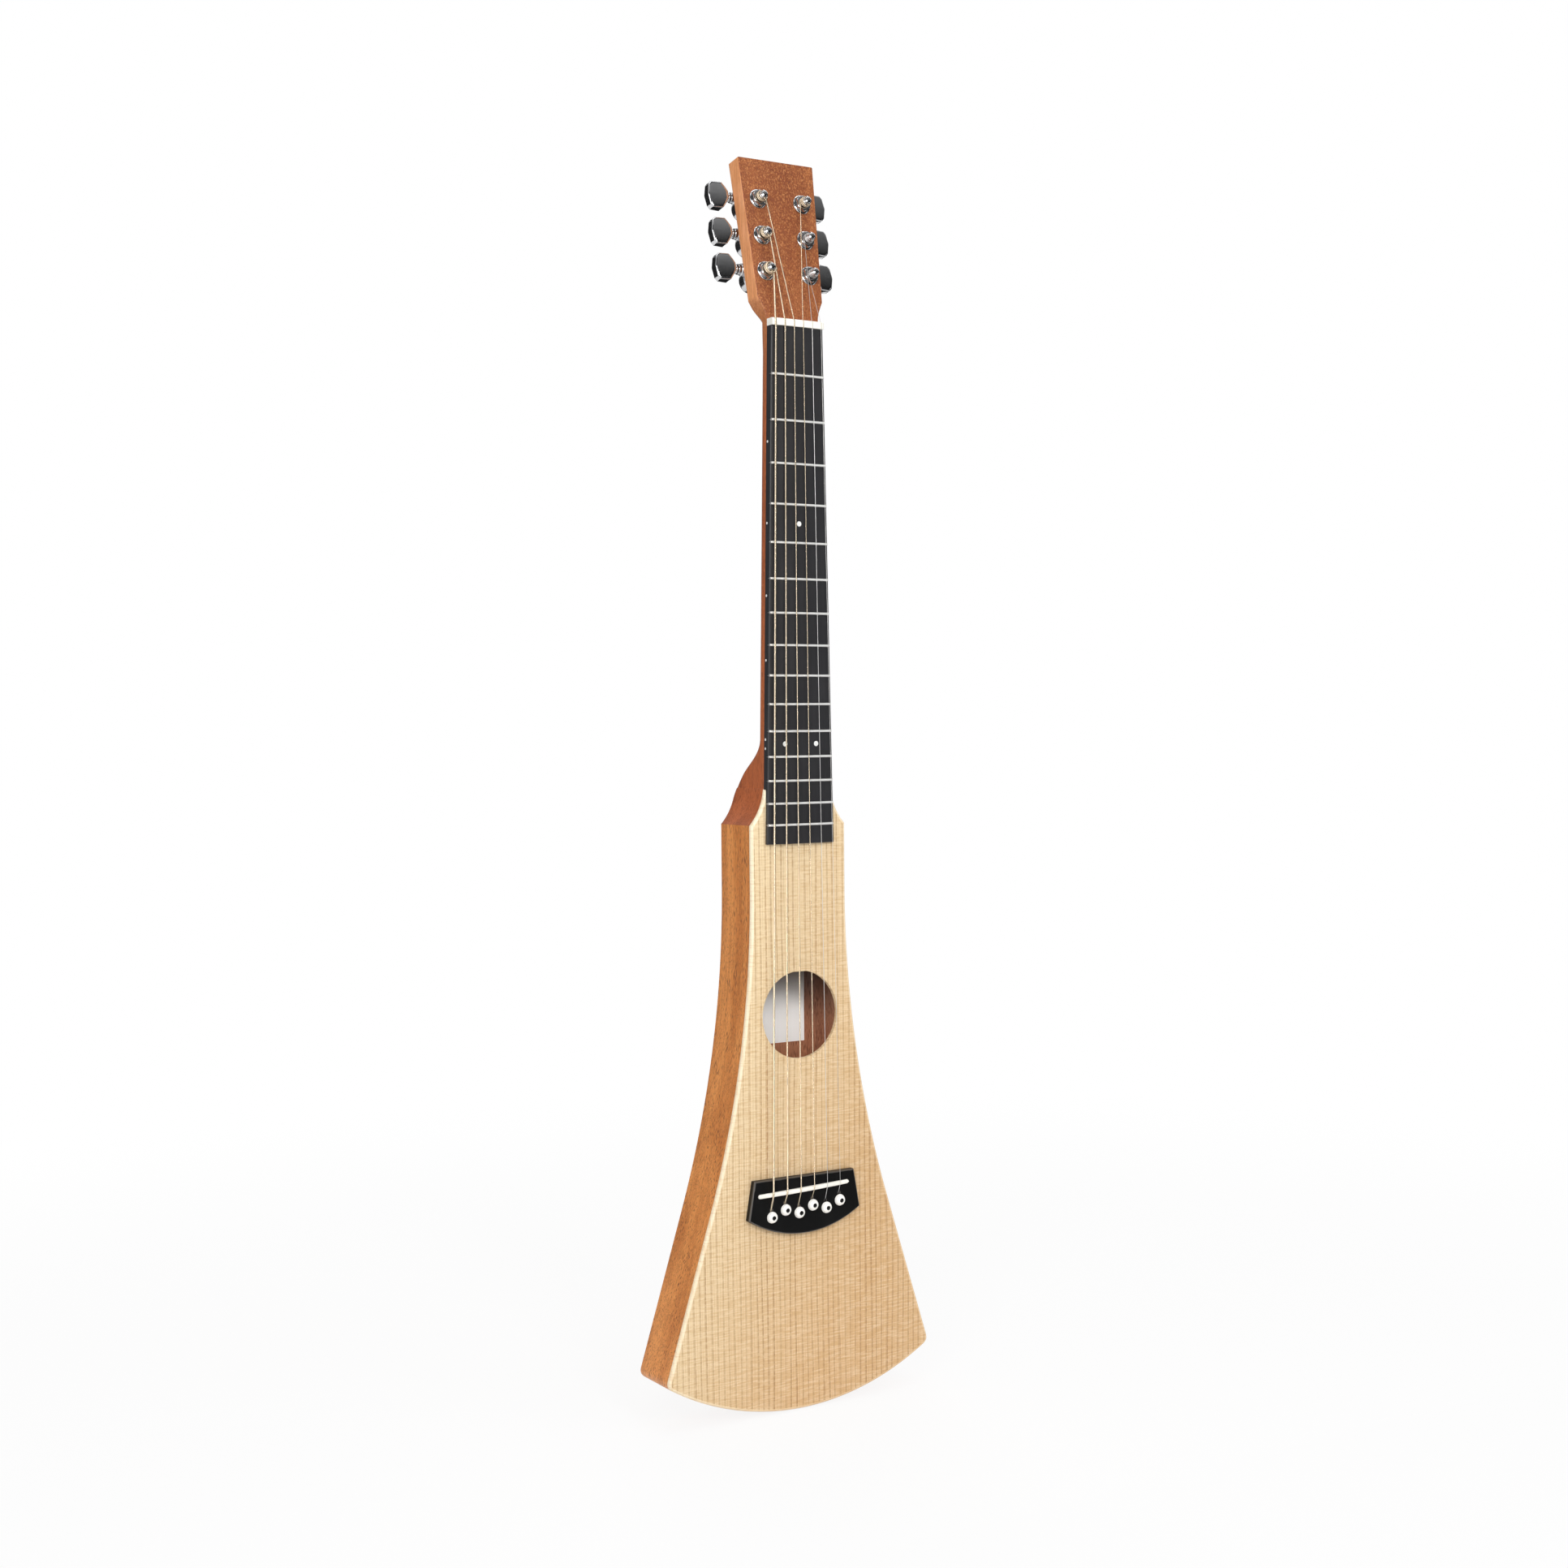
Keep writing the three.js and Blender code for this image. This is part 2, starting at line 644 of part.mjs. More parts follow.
// The saddle follows the strings' slant and the board's camber. Its slot is the same form, larger.
function saddleForm(clearance, base) {
  const endShares = [-1, -0.985, -0.5, 0, 0.5, 0.985, 1];
  const half = saddleLength / 2;
  const sections = endShares.map((share) => {
    const x = saddleOffset + share * (half + clearance);
    const thick = saddleThickness * (Math.abs(share) === 1 ? 0.5 : 1) + 2 * clearance;
    const top = -(saddleTop - camberDrop(x)) - clearance;
    const round = saddleThickness / 3;
    const outline = [[-0.5, base], [-0.5, top + round], [-0.25, top + round / 4], [0, top],
      [0.25, top + round / 4], [0.5, top + round], [0.5, base]].map(([z, y]) => [z * thick, y]);
    return { outline, x };
  });
  return solid(loft(sections, ([z, y], { x }) => point(x, y, saddleLine(x) + z)));
}

const saddleSlotFloor = bridgeTop + saddleSlotDepth;

function saddle() {
  return saddleForm(0, saddleSlotFloor - seatGap);
}

// Bridge: a bevelled plank with an arched lower edge, a slanted saddle slot and string ramps

function bridgeHalf(inset) {
  const arcSteps = 8;
  const sagitta = bridgeEnd - bridgeCornerDrop;
  const arcRadius = (bridgeHalfLow ** 2 + sagitta ** 2) / (2 * sagitta);
  const radius = arcRadius - inset;
  const centre = arcRadius - bridgeEnd;
  const startTurn = Math.asin((bridgeHalfLow - inset) / radius);
  const arc = Array.from({ length: arcSteps + 1 }, (_, i) => {
    const turn = startTurn * (1 - i / arcSteps);
    return [radius * Math.sin(turn), centre - radius * Math.cos(turn)];
  });
  return [[bridgeHalfTop - inset, -bridgeTopDrop - inset], ...arc];
}

function pinHoles(front, back) {
  const sides = 10;
  return stringPlaces().map(({ pinX, pinZ }) => bar('y', point(pinX, front - cutOverrun, pinZ),
    point(pinX, back + cutOverrun, pinZ), pinHoleRadius, sides));
}

function bridge() {
  const levels = [[-topThickness, 0], [bridgeTop + bridgeBevel, 0], [bridgeTop, bridgeBevel]];
  const sections = levels.map(([y, inset]) => ({ y, outline: mirrored(bridgeHalf(inset)) }));
  const wood = solid(loft(sections, ([x, z], { y }) => point(x, y, z)));
  const ramps = stringPlaces().map(({ pinX, pinZ, entryZ, entryY, saddleX, saddleY, gauge }) => {
    const reach = gauge / 2 + seatGap;
    const slope = (entryY - saddleY) / (saddleLine(saddleX) - entryZ);
    const end = entryZ + (entryY + reach - bridgeTop + cutOverrun) / slope;
    const outline = [[pinZ, bridgeTop - cutOverrun], [pinZ, entryY + reach],
      [entryZ, entryY + reach], [end, bridgeTop - cutOverrun]];
    const rampHalf = Math.max(reach, pinGrooveWidth / 2);
    return crosswise(outline, pinX - rampHalf, pinX + rampHalf);
  });
  return cut(wood, saddleForm(seatGap / 2, saddleSlotFloor), ...pinHoles(bridgeTop, -topThickness),
    ...ramps);
}

// Radius and rise of the dome's profile as shares of the head's radius and the dome's height
const pinDomeShares = [[0, 1], [0.5, 0.86], [0.82, 0.45], [0.9, 0]];

// A bridge pin: domed head with a collar, tapered shank with a groove for its string
function pin({ pinX, pinZ }) {
  const sides = 10;
  const collarTop = seatGap + pinCollarHeight;
  const dome = pinDomeShares.map(([radius, rise]) => (
    [pinHeadRadius * radius, collarTop + pinDomeHeight * rise]));
  const profile = [...dome,
    [pinHeadRadius, collarTop], [pinHeadRadius, seatGap], [pinShankTop, seatGap],
    [pinShankTip, -pinShankLength], [0, -pinShankLength]];
  const groove = block([-pinGrooveWidth / 2, pinGrooveWidth / 2],
    [pinGrooveRadius, pinHeadRadius], [-pinShankLength - cutOverrun, seatGap]);
  const upright = surface(cut(turned(profile.reverse(), sides), groove));
  return upright.rotateX(Math.PI / 2).translate(pinX, bridgeTop, pinZ);
}

function bridgePlate() {
  const outline = mirrored([[plateHalfWidth, -saddleDrop], [plateHalfWidth, -bridgeEnd]]);
  return cut(plate(outline, 0, plateThickness), ...pinHoles(0, plateThickness));
}

function crossBrace() {
  const drop = braceDrop - braceWidth / 2;
  const side = shoulderHalfWidth + flareRadius - Math.sqrt(flareRadius ** 2 - (drop - flareStart) ** 2);
  const half = side - wallThickness - 2 * seatGap;
  const outline = mirrored([[half, 0], [half, braceEndDepth], [half - braceScallop, braceDepth],
    [0, braceDepth]]);
  const sections = [-1, 1].map((sign) => ({ outline, z: -braceDrop + (sign * braceWidth) / 2 }));
  return solid(loft(sections, ([x, y], { z }) => point(x, y, z)));
}

// Strings: ball end, pin hole, saddle, nut, then turns round the post from the inner side

function stringWraps({ side, x, rise, gauge }, nutPoint) {
  const radius = postRadius + seatGap + gauge / 2;
  const pitch = gauge + wrapGap;
  const turns = Math.max(2, Math.floor(wrapSpan / pitch));
  const low = seatGap + washerThickness + hexHeight + seatGap + gauge / 2;
  const away = nutPoint.clone().sub(point(x, rise, 0));
  const distance = Math.hypot(away.x, away.y);
  const start = Math.atan2(away.y, away.x) - side * Math.acos(radius / distance);
  const steps = turns * wrapStepsPerTurn;
  return Array.from({ length: steps + 1 }, (_, i) => {
    const share = i / steps;
    const turn = start - side * 2 * Math.PI * turns * share;
    return point(x + radius * Math.cos(turn), rise + radius * Math.sin(turn), low + pitch * turns * share);
  });
}

function stringPath(place, tuner) {
  const nutFront = point(place.nutX, place.nutY, 0);
  const behind = nutThickness + seatGap;
  const nutBack = point(place.nutX, place.nutY + behind * Math.tan(headTilt) * nutFallShare, behind);
  const fromNut = nutBack.clone().applyMatrix4(headTurn.clone().invert());
  const wraps = stringWraps(tuner, fromNut);
  const eye = plateThickness + seatGap + place.gauge;
  return {
    wraps,
    path: [point(place.pinX, eye, place.ballZ), point(place.pinX, eye, place.entryZ),
      point(place.pinX, place.entryY, place.entryZ),
      point(place.saddleX, place.saddleY, saddleLine(place.saddleX)), nutFront, nutBack,
      ...wraps.map((p) => p.clone().applyMatrix4(headTurn))],
  };
}

// Least gap between one turn of a winding and any other turn, from surface to surface
function leastGap(wraps, gauge) {
  let least = Infinity;
  const apart = Math.round(wrapStepsPerTurn / 2);
  for (let i = 0; i < wraps.length; i += 1) {
    for (let j = i + apart; j < wraps.length; j += 1) {
      least = Math.min(least, wraps[i].distanceTo(wraps[j]) - gauge);
    }
  }
  return least;
}

function string(place, tuner) {
  const { wraps, path } = stringPath(place, tuner);
  console.log(`${place.name}: winding's least gap ${leastGap(wraps, place.gauge).toFixed(2)} mm`);
  const wire = solid(tube(path, place.gauge / 2, stringSides));
  const ballSides = 8;
  const [rim, waist] = [ballDiameter / 2, ballWaist / 2];
  const half = [[0, 0], [waist, 0], [rim, ballRim], [waist, ballWaistStart]];
  const otherHalf = half.slice().reverse().map(([radius, height]) => [radius, ballLength - height]);
  const barrel = [...half, ...otherHalf];
  const ball = surface(turned(barrel, ballSides)).rotateX(-Math.PI / 2);
  ball.translate(place.pinX, plateThickness + seatGap, place.ballZ);
  return join(wire, solid(ball));
}

// Tuning machines in the post's own place: X runs out along the key, Z out of the headstock

const wormPitchRadius = gearCentreDistance - gearPitchRadius;
const gearPitch = (2 * Math.PI * gearPitchRadius) / gearTeeth;
const wormCore = wormPitchRadius - wormThreadHeight / 2;
const wormOuter = wormPitchRadius + wormThreadHeight / 2;
const wormTail = wormCore - wormTailThinning;
const gearOuter = gearCentreDistance - wormCore - meshClearance;
const gearRoot = gearCentreDistance - wormOuter - meshClearance;
const wormTurns = 2;
const smallSides = 6;
const barrelSides = 8;
const hexSides = 6;
const gearPocketSides = 10;
const wormHalf = (wormTurns * gearPitch) / 2;
const pocketHalf = wormHalf + 2 * seatGap;
const bushTop = seatGap + washerThickness + hexHeight;

// Gear teeth lean along the worm's thread, so each ring of the gear is turned a little
function gear() {
  const toothShares = [[-0.32, 0], [-0.17, 1], [0.17, 1], [0.32, 0]];
  const outline = Array.from({ length: gearTeeth }, (_, k) => toothShares.map(([share, tip]) => {
    const turn = Math.PI / 2 + ((k + 1 / 2 + share) * 2 * Math.PI) / gearTeeth;
    const radius = tip ? gearOuter : gearRoot;
    return [radius * Math.cos(turn), radius * Math.sin(turn)];
  })).flat();
  const lean = gearPitch / (2 * Math.PI * wormPitchRadius) / gearPitchRadius;
  const sections = [-gearWidth / 2, gearWidth / 2].map((z) => ({ outline, z }));
  return solid(loft(sections, ([x, y], { z }) => (
    point(x, y, -shaftDepth + z).applyAxisAngle(point(0, 0, 1), lean * z))));
}

function post() {
  const sides = 10;
  const tail = -shaftDepth - gearWidth / 2;
  const waistHigh = postHeight - postCapHeight;
  const waistLow = waistHigh - postWaistHeight;
  const profile = [[0, tail - postTailLength], [postTailRadius, tail - postTailLength],
    [postTailRadius, tail + cutOverrun], [postRadius, tail + cutOverrun], [postRadius, waistLow - seatGap],
    [postWaist, waistLow], [postWaist, waistHigh], [postCollarRadius, waistHigh + seatGap],
    [postCapRadius, postHeight - seatGap / 2], [0, postHeight]];
  const holeSides = 6;
  const height = (waistLow + waistHigh) / 2;
  const hole = bar('y', point(0, -postRadius - cutOverrun, height),
    point(0, postRadius + cutOverrun, height), postHoleRadius, holeSides);
  return cut(join(turned(profile, sides), gear()), hole);
}

function wormThread() {
  const stepsPerTurn = 8;
  const steps = Math.round(wormTurns * stepsPerTurn);
  const outline = [[-0.24, wormCore - meshClearance], [-0.13, wormOuter], [0.13, wormOuter],
    [0.24, wormCore - meshClearance]];
  const sections = Array.from({ length: steps + 1 }, (_, i) => (
    { outline, turn: 2 * Math.PI * (i / steps - 1 / 2) * wormTurns }));
  return solid(loft(sections, ([along, radius], { turn }) => point(
    gearPitch * (turn / (2 * Math.PI) + along),
    gearCentreDistance - radius * Math.cos(turn), -shaftDepth - radius * Math.sin(turn))));
}

function button() {
  const upper = [[0, 0.34], [0.13, 0.76], [0.27, 1], [0.7, 1], [0.92, 0.74], [1, 0.36]];
  const shares = [...upper, ...upper.slice().reverse().map(([l, h]) => [l, -h])];
  const [halfLength, halfHeight] = [buttonLength / 2, buttonHeight / 2];
  const edge = buttonThickness / 2;
  const levels = [[-edge, buttonBevel], [-edge + buttonBevel, 0], [edge - buttonBevel, 0],
    [edge, buttonBevel]];
  const sections = levels.map(([z, inset]) => ({ z, outline: shares.map(([l, h]) => [
    (2 * l - 1) * (halfLength - inset), h * (halfHeight - inset)]) }));
  return solid(loft(sections, ([x, y], { z }) => (
    point(buttonStart + halfLength + x, gearCentreDistance + y, -shaftDepth + z))));
}

function key() {
  const sides = 8;
  const axis = (x) => point(x, gearCentreDistance, -shaftDepth);
  const tail = bar('x', axis(-pocketHalf - postTailLength), axis(0), wormTail, sides);
  const core = bar('x', axis(-wormHalf), axis(wormHalf), wormCore, sides);
  const shaft = bar('x', axis(0), axis(buttonStart + cutOverrun), keyShaftRadius, sides);
  const collar = bar('x', axis(barrelOuter + collarLength + seatGap), axis(buttonStart + cutOverrun),
    buttonCollarRadius, sides);
  return join(core, tail, shaft, wormThread(), collar, button());
}

function bushing() {
  const sides = 12;
  const washerTop = seatGap + washerThickness;
  const stem = turned([[0, -bushTailLength], [sleeveRadius, -bushTailLength], [sleeveRadius, seatGap],
    [washerRadius, seatGap], [washerRadius, washerTop], [0, washerTop]], sides);
  const hexRadius = hexAcrossFlats / Math.sqrt(3);
  const root = seatGap + washerThickness / 2;
  const hex = turned([[0, root], [hexRadius, root], [hexRadius, bushTop - hexChamfer],
    [hexRadius - hexChamfer, bushTop], [0, bushTop]], hexSides);
  const bore = bar('z', point(0, 0, -bushTailLength - cutOverrun), point(0, 0, bushTop + cutOverrun),
    postRadius + bushBoreClearance, sides);
  return cut(join(stem, hex), bore);
}

function housing() {
  const sides = 12;
  const front = -headThickness - seatGap;
  const back = front - housingDepth;
  const edge = housingRadius - gearOuter;
  const cup = turned([[0, back], [housingRadius - edge / 2, back], [housingRadius, back + edge / 2],
    [housingRadius, front], [0, front]], sides);
  const axis = (x) => point(x, gearCentreDistance, -shaftDepth);
  const barrel = bar('x', axis(-barrelInner), axis(barrelOuter), barrelRadius, barrelSides);
  const collar = bar('x', axis(barrelOuter), axis(barrelOuter + collarLength), collarRadius, barrelSides);
  const web = block([-barrelInner, barrelInner], [0, gearCentreDistance],
    [back + edge / 2, front]);
  const sleeve = bar('z', point(0, 0, front - cutOverrun), point(0, 0, front + housingSleeve),
    sleeveRadius, barrelSides);

  const ear = join(
    bar('z', point(0, -earReach + earRadius, front - earThickness),
      point(0, -earReach + earRadius, front), earRadius, smallSides),
    block([-earRadius, earRadius], [-earReach + earRadius, 0], [front - earThickness, front]));
  const body = join(cup, web, barrel, collar, sleeve, ear);
  const room = gearWidth / 2 + seatGap;
  const gearPocket = bar('z', point(0, 0, -shaftDepth - room), point(0, 0, -shaftDepth + room),
    gearOuter + seatGap, gearPocketSides);
  const wormPocket = bar('x', axis(-pocketHalf), axis(pocketHalf), wormOuter + seatGap, barrelSides);
  const postBore = bar('z', point(0, 0, -shaftDepth), point(0, 0, front + housingSleeve + cutOverrun),
    postRadius + bushBoreClearance, barrelSides);
  const tailBore = bar('z', point(0, 0, -shaftDepth - room - postTailLength), point(0, 0, -shaftDepth),
    postTailRadius + seatGap, smallSides);
  const shaftBore = bar('x', axis(0), axis(barrelOuter + collarLength + cutOverrun),
    keyShaftRadius + seatGap, smallSides);
  const wormTailBore = bar('x', axis(-pocketHalf - postTailLength - seatGap), axis(0),
    wormTail + seatGap, smallSides);
  const earHole = bar('z', point(0, -earReach + earRadius, front - earThickness - cutOverrun),
    point(0, -earReach + earRadius, front + cutOverrun), earHoleRadius, smallSides);
  return cut(body, gearPocket, wormPocket, postBore, tailBore, shaftBore, wormTailBore, earHole);
}

// The left-hand machines are the right-hand ones seen in a mirror
function handed(piece, side) {
  const geometry = surface(piece);
  if (side > 0) return geometry;
  geometry.scale(-1, 1, 1);
  const index = Array.from(geometry.index.array);
  for (let i = 0; i < index.length; i += 3) [index[i], index[i + 1]] = [index[i + 1], index[i]];
  return geometry.setIndex(index);
}

// Assembly

function named(name, geometry, finish) {
  const mesh = new THREE.Mesh(geometry, new THREE.MeshStandardMaterial(finishes[finish]));
  mesh.name = name;
  return mesh;
}

const guitar = new THREE.Group();
const headstock = new THREE.Group();
headTurn.decompose(headstock.position, headstock.quaternion, headstock.scale);
guitar.add(
  named('body_shell', surface(bodyShell()), 'mahogany'),
  named('soundboard', surface(soundboard()), 'spruce'),
  named('neck', surface(neck()), 'mahogany'),
  named('fretboard', surface(fretboard()), 'board'),
  named('nut', surface(nut()), 'bone'),
  named('saddle', surface(saddle()), 'bone'),
  named('bridge', surface(bridge()), 'board'),
  named('bridge_plate', surface(bridgePlate()), 'spruce'),
  named('cross_brace', surface(crossBrace()), 'spruce'),
  headstock,
);
for (const each of frets()) {
  guitar.add(named(`fret_${each.number}`, surface(fret(each)), 'nickel'));
}
const machines = { housing: housing(), bushing: bushing(), post: post(), key: key() };
const woundCount = 4;
stringPlaces().forEach((place, i) => {
  const tuner = tuners()[i];
  guitar.add(named(`pin_${place.name}`, pin(place), 'bone'));
  const finish = i < woundCount ? 'bronze' : 'steel';
  guitar.add(named(`string_${place.name}`, surface(string(place, tuner)), finish));
  const machine = new THREE.Group();
  machine.position.set(tuner.x, tuner.rise, 0);
  for (const [part, piece] of Object.entries(machines)) {
    machine.add(named(`${part}_${place.name}`, handed(piece, tuner.side), 'chrome'));
  }
  headstock.add(machine);
});

export default guitar;
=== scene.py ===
# %% [markdown]
# A slim travel guitar, dressed for its picture. The measured model gives every piece its size and
# its place, and this lesson gives each one its finished surface: smooth lofts in place of facets,
# and woods, laminates, metals and bone made from nodes. It starts by loading the frame.

# %% Load the frame
import json
import math

import bmesh
import bpy
import numpy as np
from mathutils import Matrix

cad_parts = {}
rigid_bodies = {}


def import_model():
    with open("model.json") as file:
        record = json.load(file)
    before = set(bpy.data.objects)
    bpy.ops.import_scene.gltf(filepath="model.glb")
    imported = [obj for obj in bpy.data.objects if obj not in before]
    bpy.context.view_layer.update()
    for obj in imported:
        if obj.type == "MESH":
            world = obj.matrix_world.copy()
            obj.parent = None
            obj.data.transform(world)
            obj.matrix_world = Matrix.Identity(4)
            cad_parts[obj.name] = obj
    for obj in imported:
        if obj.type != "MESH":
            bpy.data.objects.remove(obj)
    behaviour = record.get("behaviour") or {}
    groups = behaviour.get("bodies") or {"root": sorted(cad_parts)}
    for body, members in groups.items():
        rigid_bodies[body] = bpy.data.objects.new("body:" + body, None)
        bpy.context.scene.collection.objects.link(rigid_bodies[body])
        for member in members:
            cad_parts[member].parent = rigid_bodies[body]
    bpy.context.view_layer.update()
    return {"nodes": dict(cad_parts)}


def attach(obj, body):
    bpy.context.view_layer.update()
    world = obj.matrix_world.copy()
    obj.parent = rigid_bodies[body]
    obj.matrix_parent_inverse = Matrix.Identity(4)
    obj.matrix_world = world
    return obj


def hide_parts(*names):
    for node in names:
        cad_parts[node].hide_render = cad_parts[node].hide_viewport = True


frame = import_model()
MM = 0.001
print("pieces in the frame:", len(frame["nodes"]))

# %% [markdown]
# The camera comes first, so that every test picture can be laid beside the photograph. Its place
# and lens were fitted to the fifteen fret lines, which are spaced by a known rule, and to the edges
# of the fretboard and the body, with the nut held at its usual width. It stands to the guitar's
# left, looks a little down, and is hardly rolled at all.

# %% Camera
PICTURE = 1932
FOCAL_PIXELS = 2659.37
SENSOR = 36.0
YAW, PITCH, ROLL = math.radians(-31.51), math.radians(-1.654), math.radians(-0.467)
CAMERA_PLACE = np.array([-815.61, -1313.56, -279.89]) * MM


def camera_axes(yaw, pitch, roll):
    """Right, up and forward: forward is +Y turned by yaw and pitch, then both others roll about it."""
    right = np.array([math.cos(yaw), math.sin(yaw), 0.0])
    forward = np.array([-math.sin(yaw) * math.cos(pitch), math.cos(yaw) * math.cos(pitch),
                        math.sin(pitch)])
    up = np.cross(right, forward)
    rolled_right = right * math.cos(roll) + up * math.sin(roll)
    rolled_up = up * math.cos(roll) - right * math.sin(roll)
    return rolled_right, rolled_up, forward


def add_camera():
    """A camera whose lens in mm is the focal length in pixels times sensor width over picture."""
    right, up, forward = camera_axes(YAW, PITCH, ROLL)
    data = bpy.data.cameras.new("camera")
    data.sensor_width = SENSOR
    data.sensor_fit = "HORIZONTAL"
    data.lens = FOCAL_PIXELS / PICTURE * SENSOR
    data.clip_start, data.clip_end = 0.05, 50
    camera = bpy.data.objects.new("camera", data)
    matrix = np.eye(4)
    matrix[:3, 0], matrix[:3, 1], matrix[:3, 2], matrix[:3, 3] = right, up, -forward, CAMERA_PLACE
    camera.matrix_world = Matrix(matrix.tolist())
    bpy.context.scene.collection.objects.link(camera)
    bpy.context.scene.camera = camera
    return camera


camera = add_camera()
print("lens in mm:", round(camera.data.lens, 3))

# %% [markdown]
# The guitar stands upright in a white studio. A tall soft lamp at the left and a weaker one at the
# right light it at a plain level, and a small one in front is aimed at the soundhole. A long one
# overhead draws highlights along the edges, and one behind lights the back.

# %% Lamps
def look_at(place, target):
    """A turn that points an object's -Z from place to target."""
    forward = np.array(target, float) - np.array(place, float)
    forward /= np.linalg.norm(forward)
    right = np.cross(forward, (0.0, 0.0, 1.0))
    right /= np.linalg.norm(right)
    matrix = np.eye(4)
    matrix[:3, 0], matrix[:3, 1], matrix[:3, 2] = right, np.cross(right, forward), -forward
    matrix[:3, 3] = place
    return Matrix(matrix.tolist())


def add_lamp(name, place, target, size, power):
    """A white lamp of a given width and height in metres and power in watts, aimed at a target."""
    data = bpy.data.lights.new(name, "AREA")
    data.shape, data.size, data.size_y = "RECTANGLE", size[0], size[1]
    data.energy = power
    lamp = bpy.data.objects.new(name, data)
    lamp.matrix_world = look_at(place, target)
    bpy.context.scene.collection.objects.link(lamp)
    return lamp


MIDDLE = (0.0, 0.0, -0.3)
LAMPS = {
    "left_panel": ((-1.7, -1.7, 0.6), MIDDLE, (1.0, 2.0), 27.0),
    "upper_panel": ((-0.2, -1.9, 0.5), (0.0, 0.0, -0.49), (0.45, 0.45), 11.0),
    "right_panel": ((1.6, -2.0, 0.9), MIDDLE, (1.4, 1.4), 10.0),
    "top_panel": ((0.1, -0.6, 1.9), (0.0, 0.0, 0.0), (1.6, 0.8), 12.0),
    "back_panel": ((0.8, 2.0, 0.4), MIDDLE, (1.6, 2.0), 16.0),
}
for lamp_name, settings in LAMPS.items():
    add_lamp(lamp_name, *settings)
bpy.context.scene.view_settings.view_transform = "Standard"
print("lamps:", len(LAMPS))

# %% [markdown]
# Materials are made of nodes. Writing each node by hand would fill pages, so one small class wraps
# a socket: sums and products on it add Math nodes, and one method adds any other node from its
# type, its settings and its inputs.

# %% A class that writes nodes as sums
class Value:
    """A socket in a node tree. Python's operators on it add Math nodes to the same tree."""

    def __init__(self, tree, socket):
        self.tree, self.socket = tree, socket

    def node(self, kind, settings=None, inputs=None, output=0):
        """One output of a new node, once its settings are set and its inputs set or linked."""
        made = self.tree.nodes.new(kind)
        for name, setting in (settings or {}).items():
            setattr(made, name, setting)
        for key, given in (inputs or {}).items():
            if isinstance(given, Value):
                self.tree.links.new(given.socket, made.inputs[key])
            else:
                made.inputs[key].default_value = given
        return Value(self.tree, made.outputs[output])

    def maths(self, operation, *others):
        """A Math node on this value and, where the operation takes more, the others."""
        return self.node("ShaderNodeMath", {"operation": operation}, dict(enumerate((self, *others))))

    def __add__(self, other): return self.maths("ADD", other)
    def __radd__(self, other): return self.maths("ADD", other)
    def __sub__(self, other): return self.maths("SUBTRACT", other)
    def __mul__(self, other): return self.maths("MULTIPLY", other)
    def __rmul__(self, other): return self.maths("MULTIPLY", other)
    def __truediv__(self, other): return self.maths("DIVIDE", other)
    def __pow__(self, other): return self.maths("POWER", other)
    def __abs__(self): return self.maths("ABSOLUTE")

    def __rsub__(self, other):
        return self.node("ShaderNodeMath", {"operation": "SUBTRACT"}, {0: other, 1: self})

    def step(self, low, high, to_low=0.0, to_high=1.0):
        """A smooth ramp: to_low below low, to_high above high, an S curve between them."""
        settings = {"interpolation_type": "SMOOTHSTEP"}
        return self.node("ShaderNodeMapRange", settings,
                         {"Value": self, "From Min": low, "From Max": high,
                          "To Min": to_low, "To Max": to_high})

    def stretched(self, scale):
        """The same coordinates, scaled on each axis by a Mapping node."""
        return self.node("ShaderNodeMapping", None, {"Vector": self, "Scale": scale})

    def noise(self, scale, detail=3.0, rough=0.5):
        """Smooth noise about 0.5, with detail finer steps that each weigh rough times the last."""
        return self.node("ShaderNodeTexNoise", None,
                         {"Vector": self, "Scale": scale, "Detail": detail, "Roughness": rough})

    def cells(self):
        """The distance to the nearest of many scattered points, one in each unit cube."""
        return self.node("ShaderNodeTexVoronoi", None, {"Vector": self, "Scale": 1.0})

    def axis(self, name):
        """One of a vector's three numbers, by its letter X, Y or Z."""
        split = self.node("ShaderNodeSeparateXYZ", None, {0: self})
        return Value(self.tree, split.socket.node.outputs["XYZ".index(name)])


def four(colour):
    """A colour of three numbers with an alpha of 1 added; anything else stays as it is."""
    return (*colour, 1.0) if isinstance(colour, tuple) and len(colour) == 3 else colour


def mix(factor, low, high):
    """A Mix node on colours: low where factor is 0 and high where it is 1."""
    source = next(item for item in (factor, low, high) if isinstance(item, Value))
    return source.node("ShaderNodeMix", {"data_type": "RGBA"},
                       {"Factor": factor, 6: four(low), 7: four(high)}, output=2)


def new_material(name, preview, **shader):
    """A material with a Principled shader. Gives it, its coordinates and a way to set a socket."""
    material = bpy.data.materials.new(name)
    material.use_nodes = True
    material.diffuse_color = four(preview)
    tree = material.node_tree
    principled = tree.nodes["Principled BSDF"]
    principled.inputs["Base Color"].default_value = four(preview)
    for socket, given in shader.items():
        principled.inputs[socket.replace("_", " ")].default_value = given
    place = Value(tree, tree.nodes.new("ShaderNodeTexCoord").outputs["Object"])

    def feed(**sockets):
        """Link each value to the shader's socket of that name."""
        for socket, given in sockets.items():
            tree.links.new(given.socket, principled.inputs[socket.replace("_", " ")])
    return material, place, feed


def bumped(height, distance, strength=1.0):
    """A Bump node's normal from a height between 0 and 1 that stands distance metres tall."""
    return height.node("ShaderNodeBump", None,
                       {"Height": height, "Distance": distance, "Strength": strength})


print("shader helpers ready")

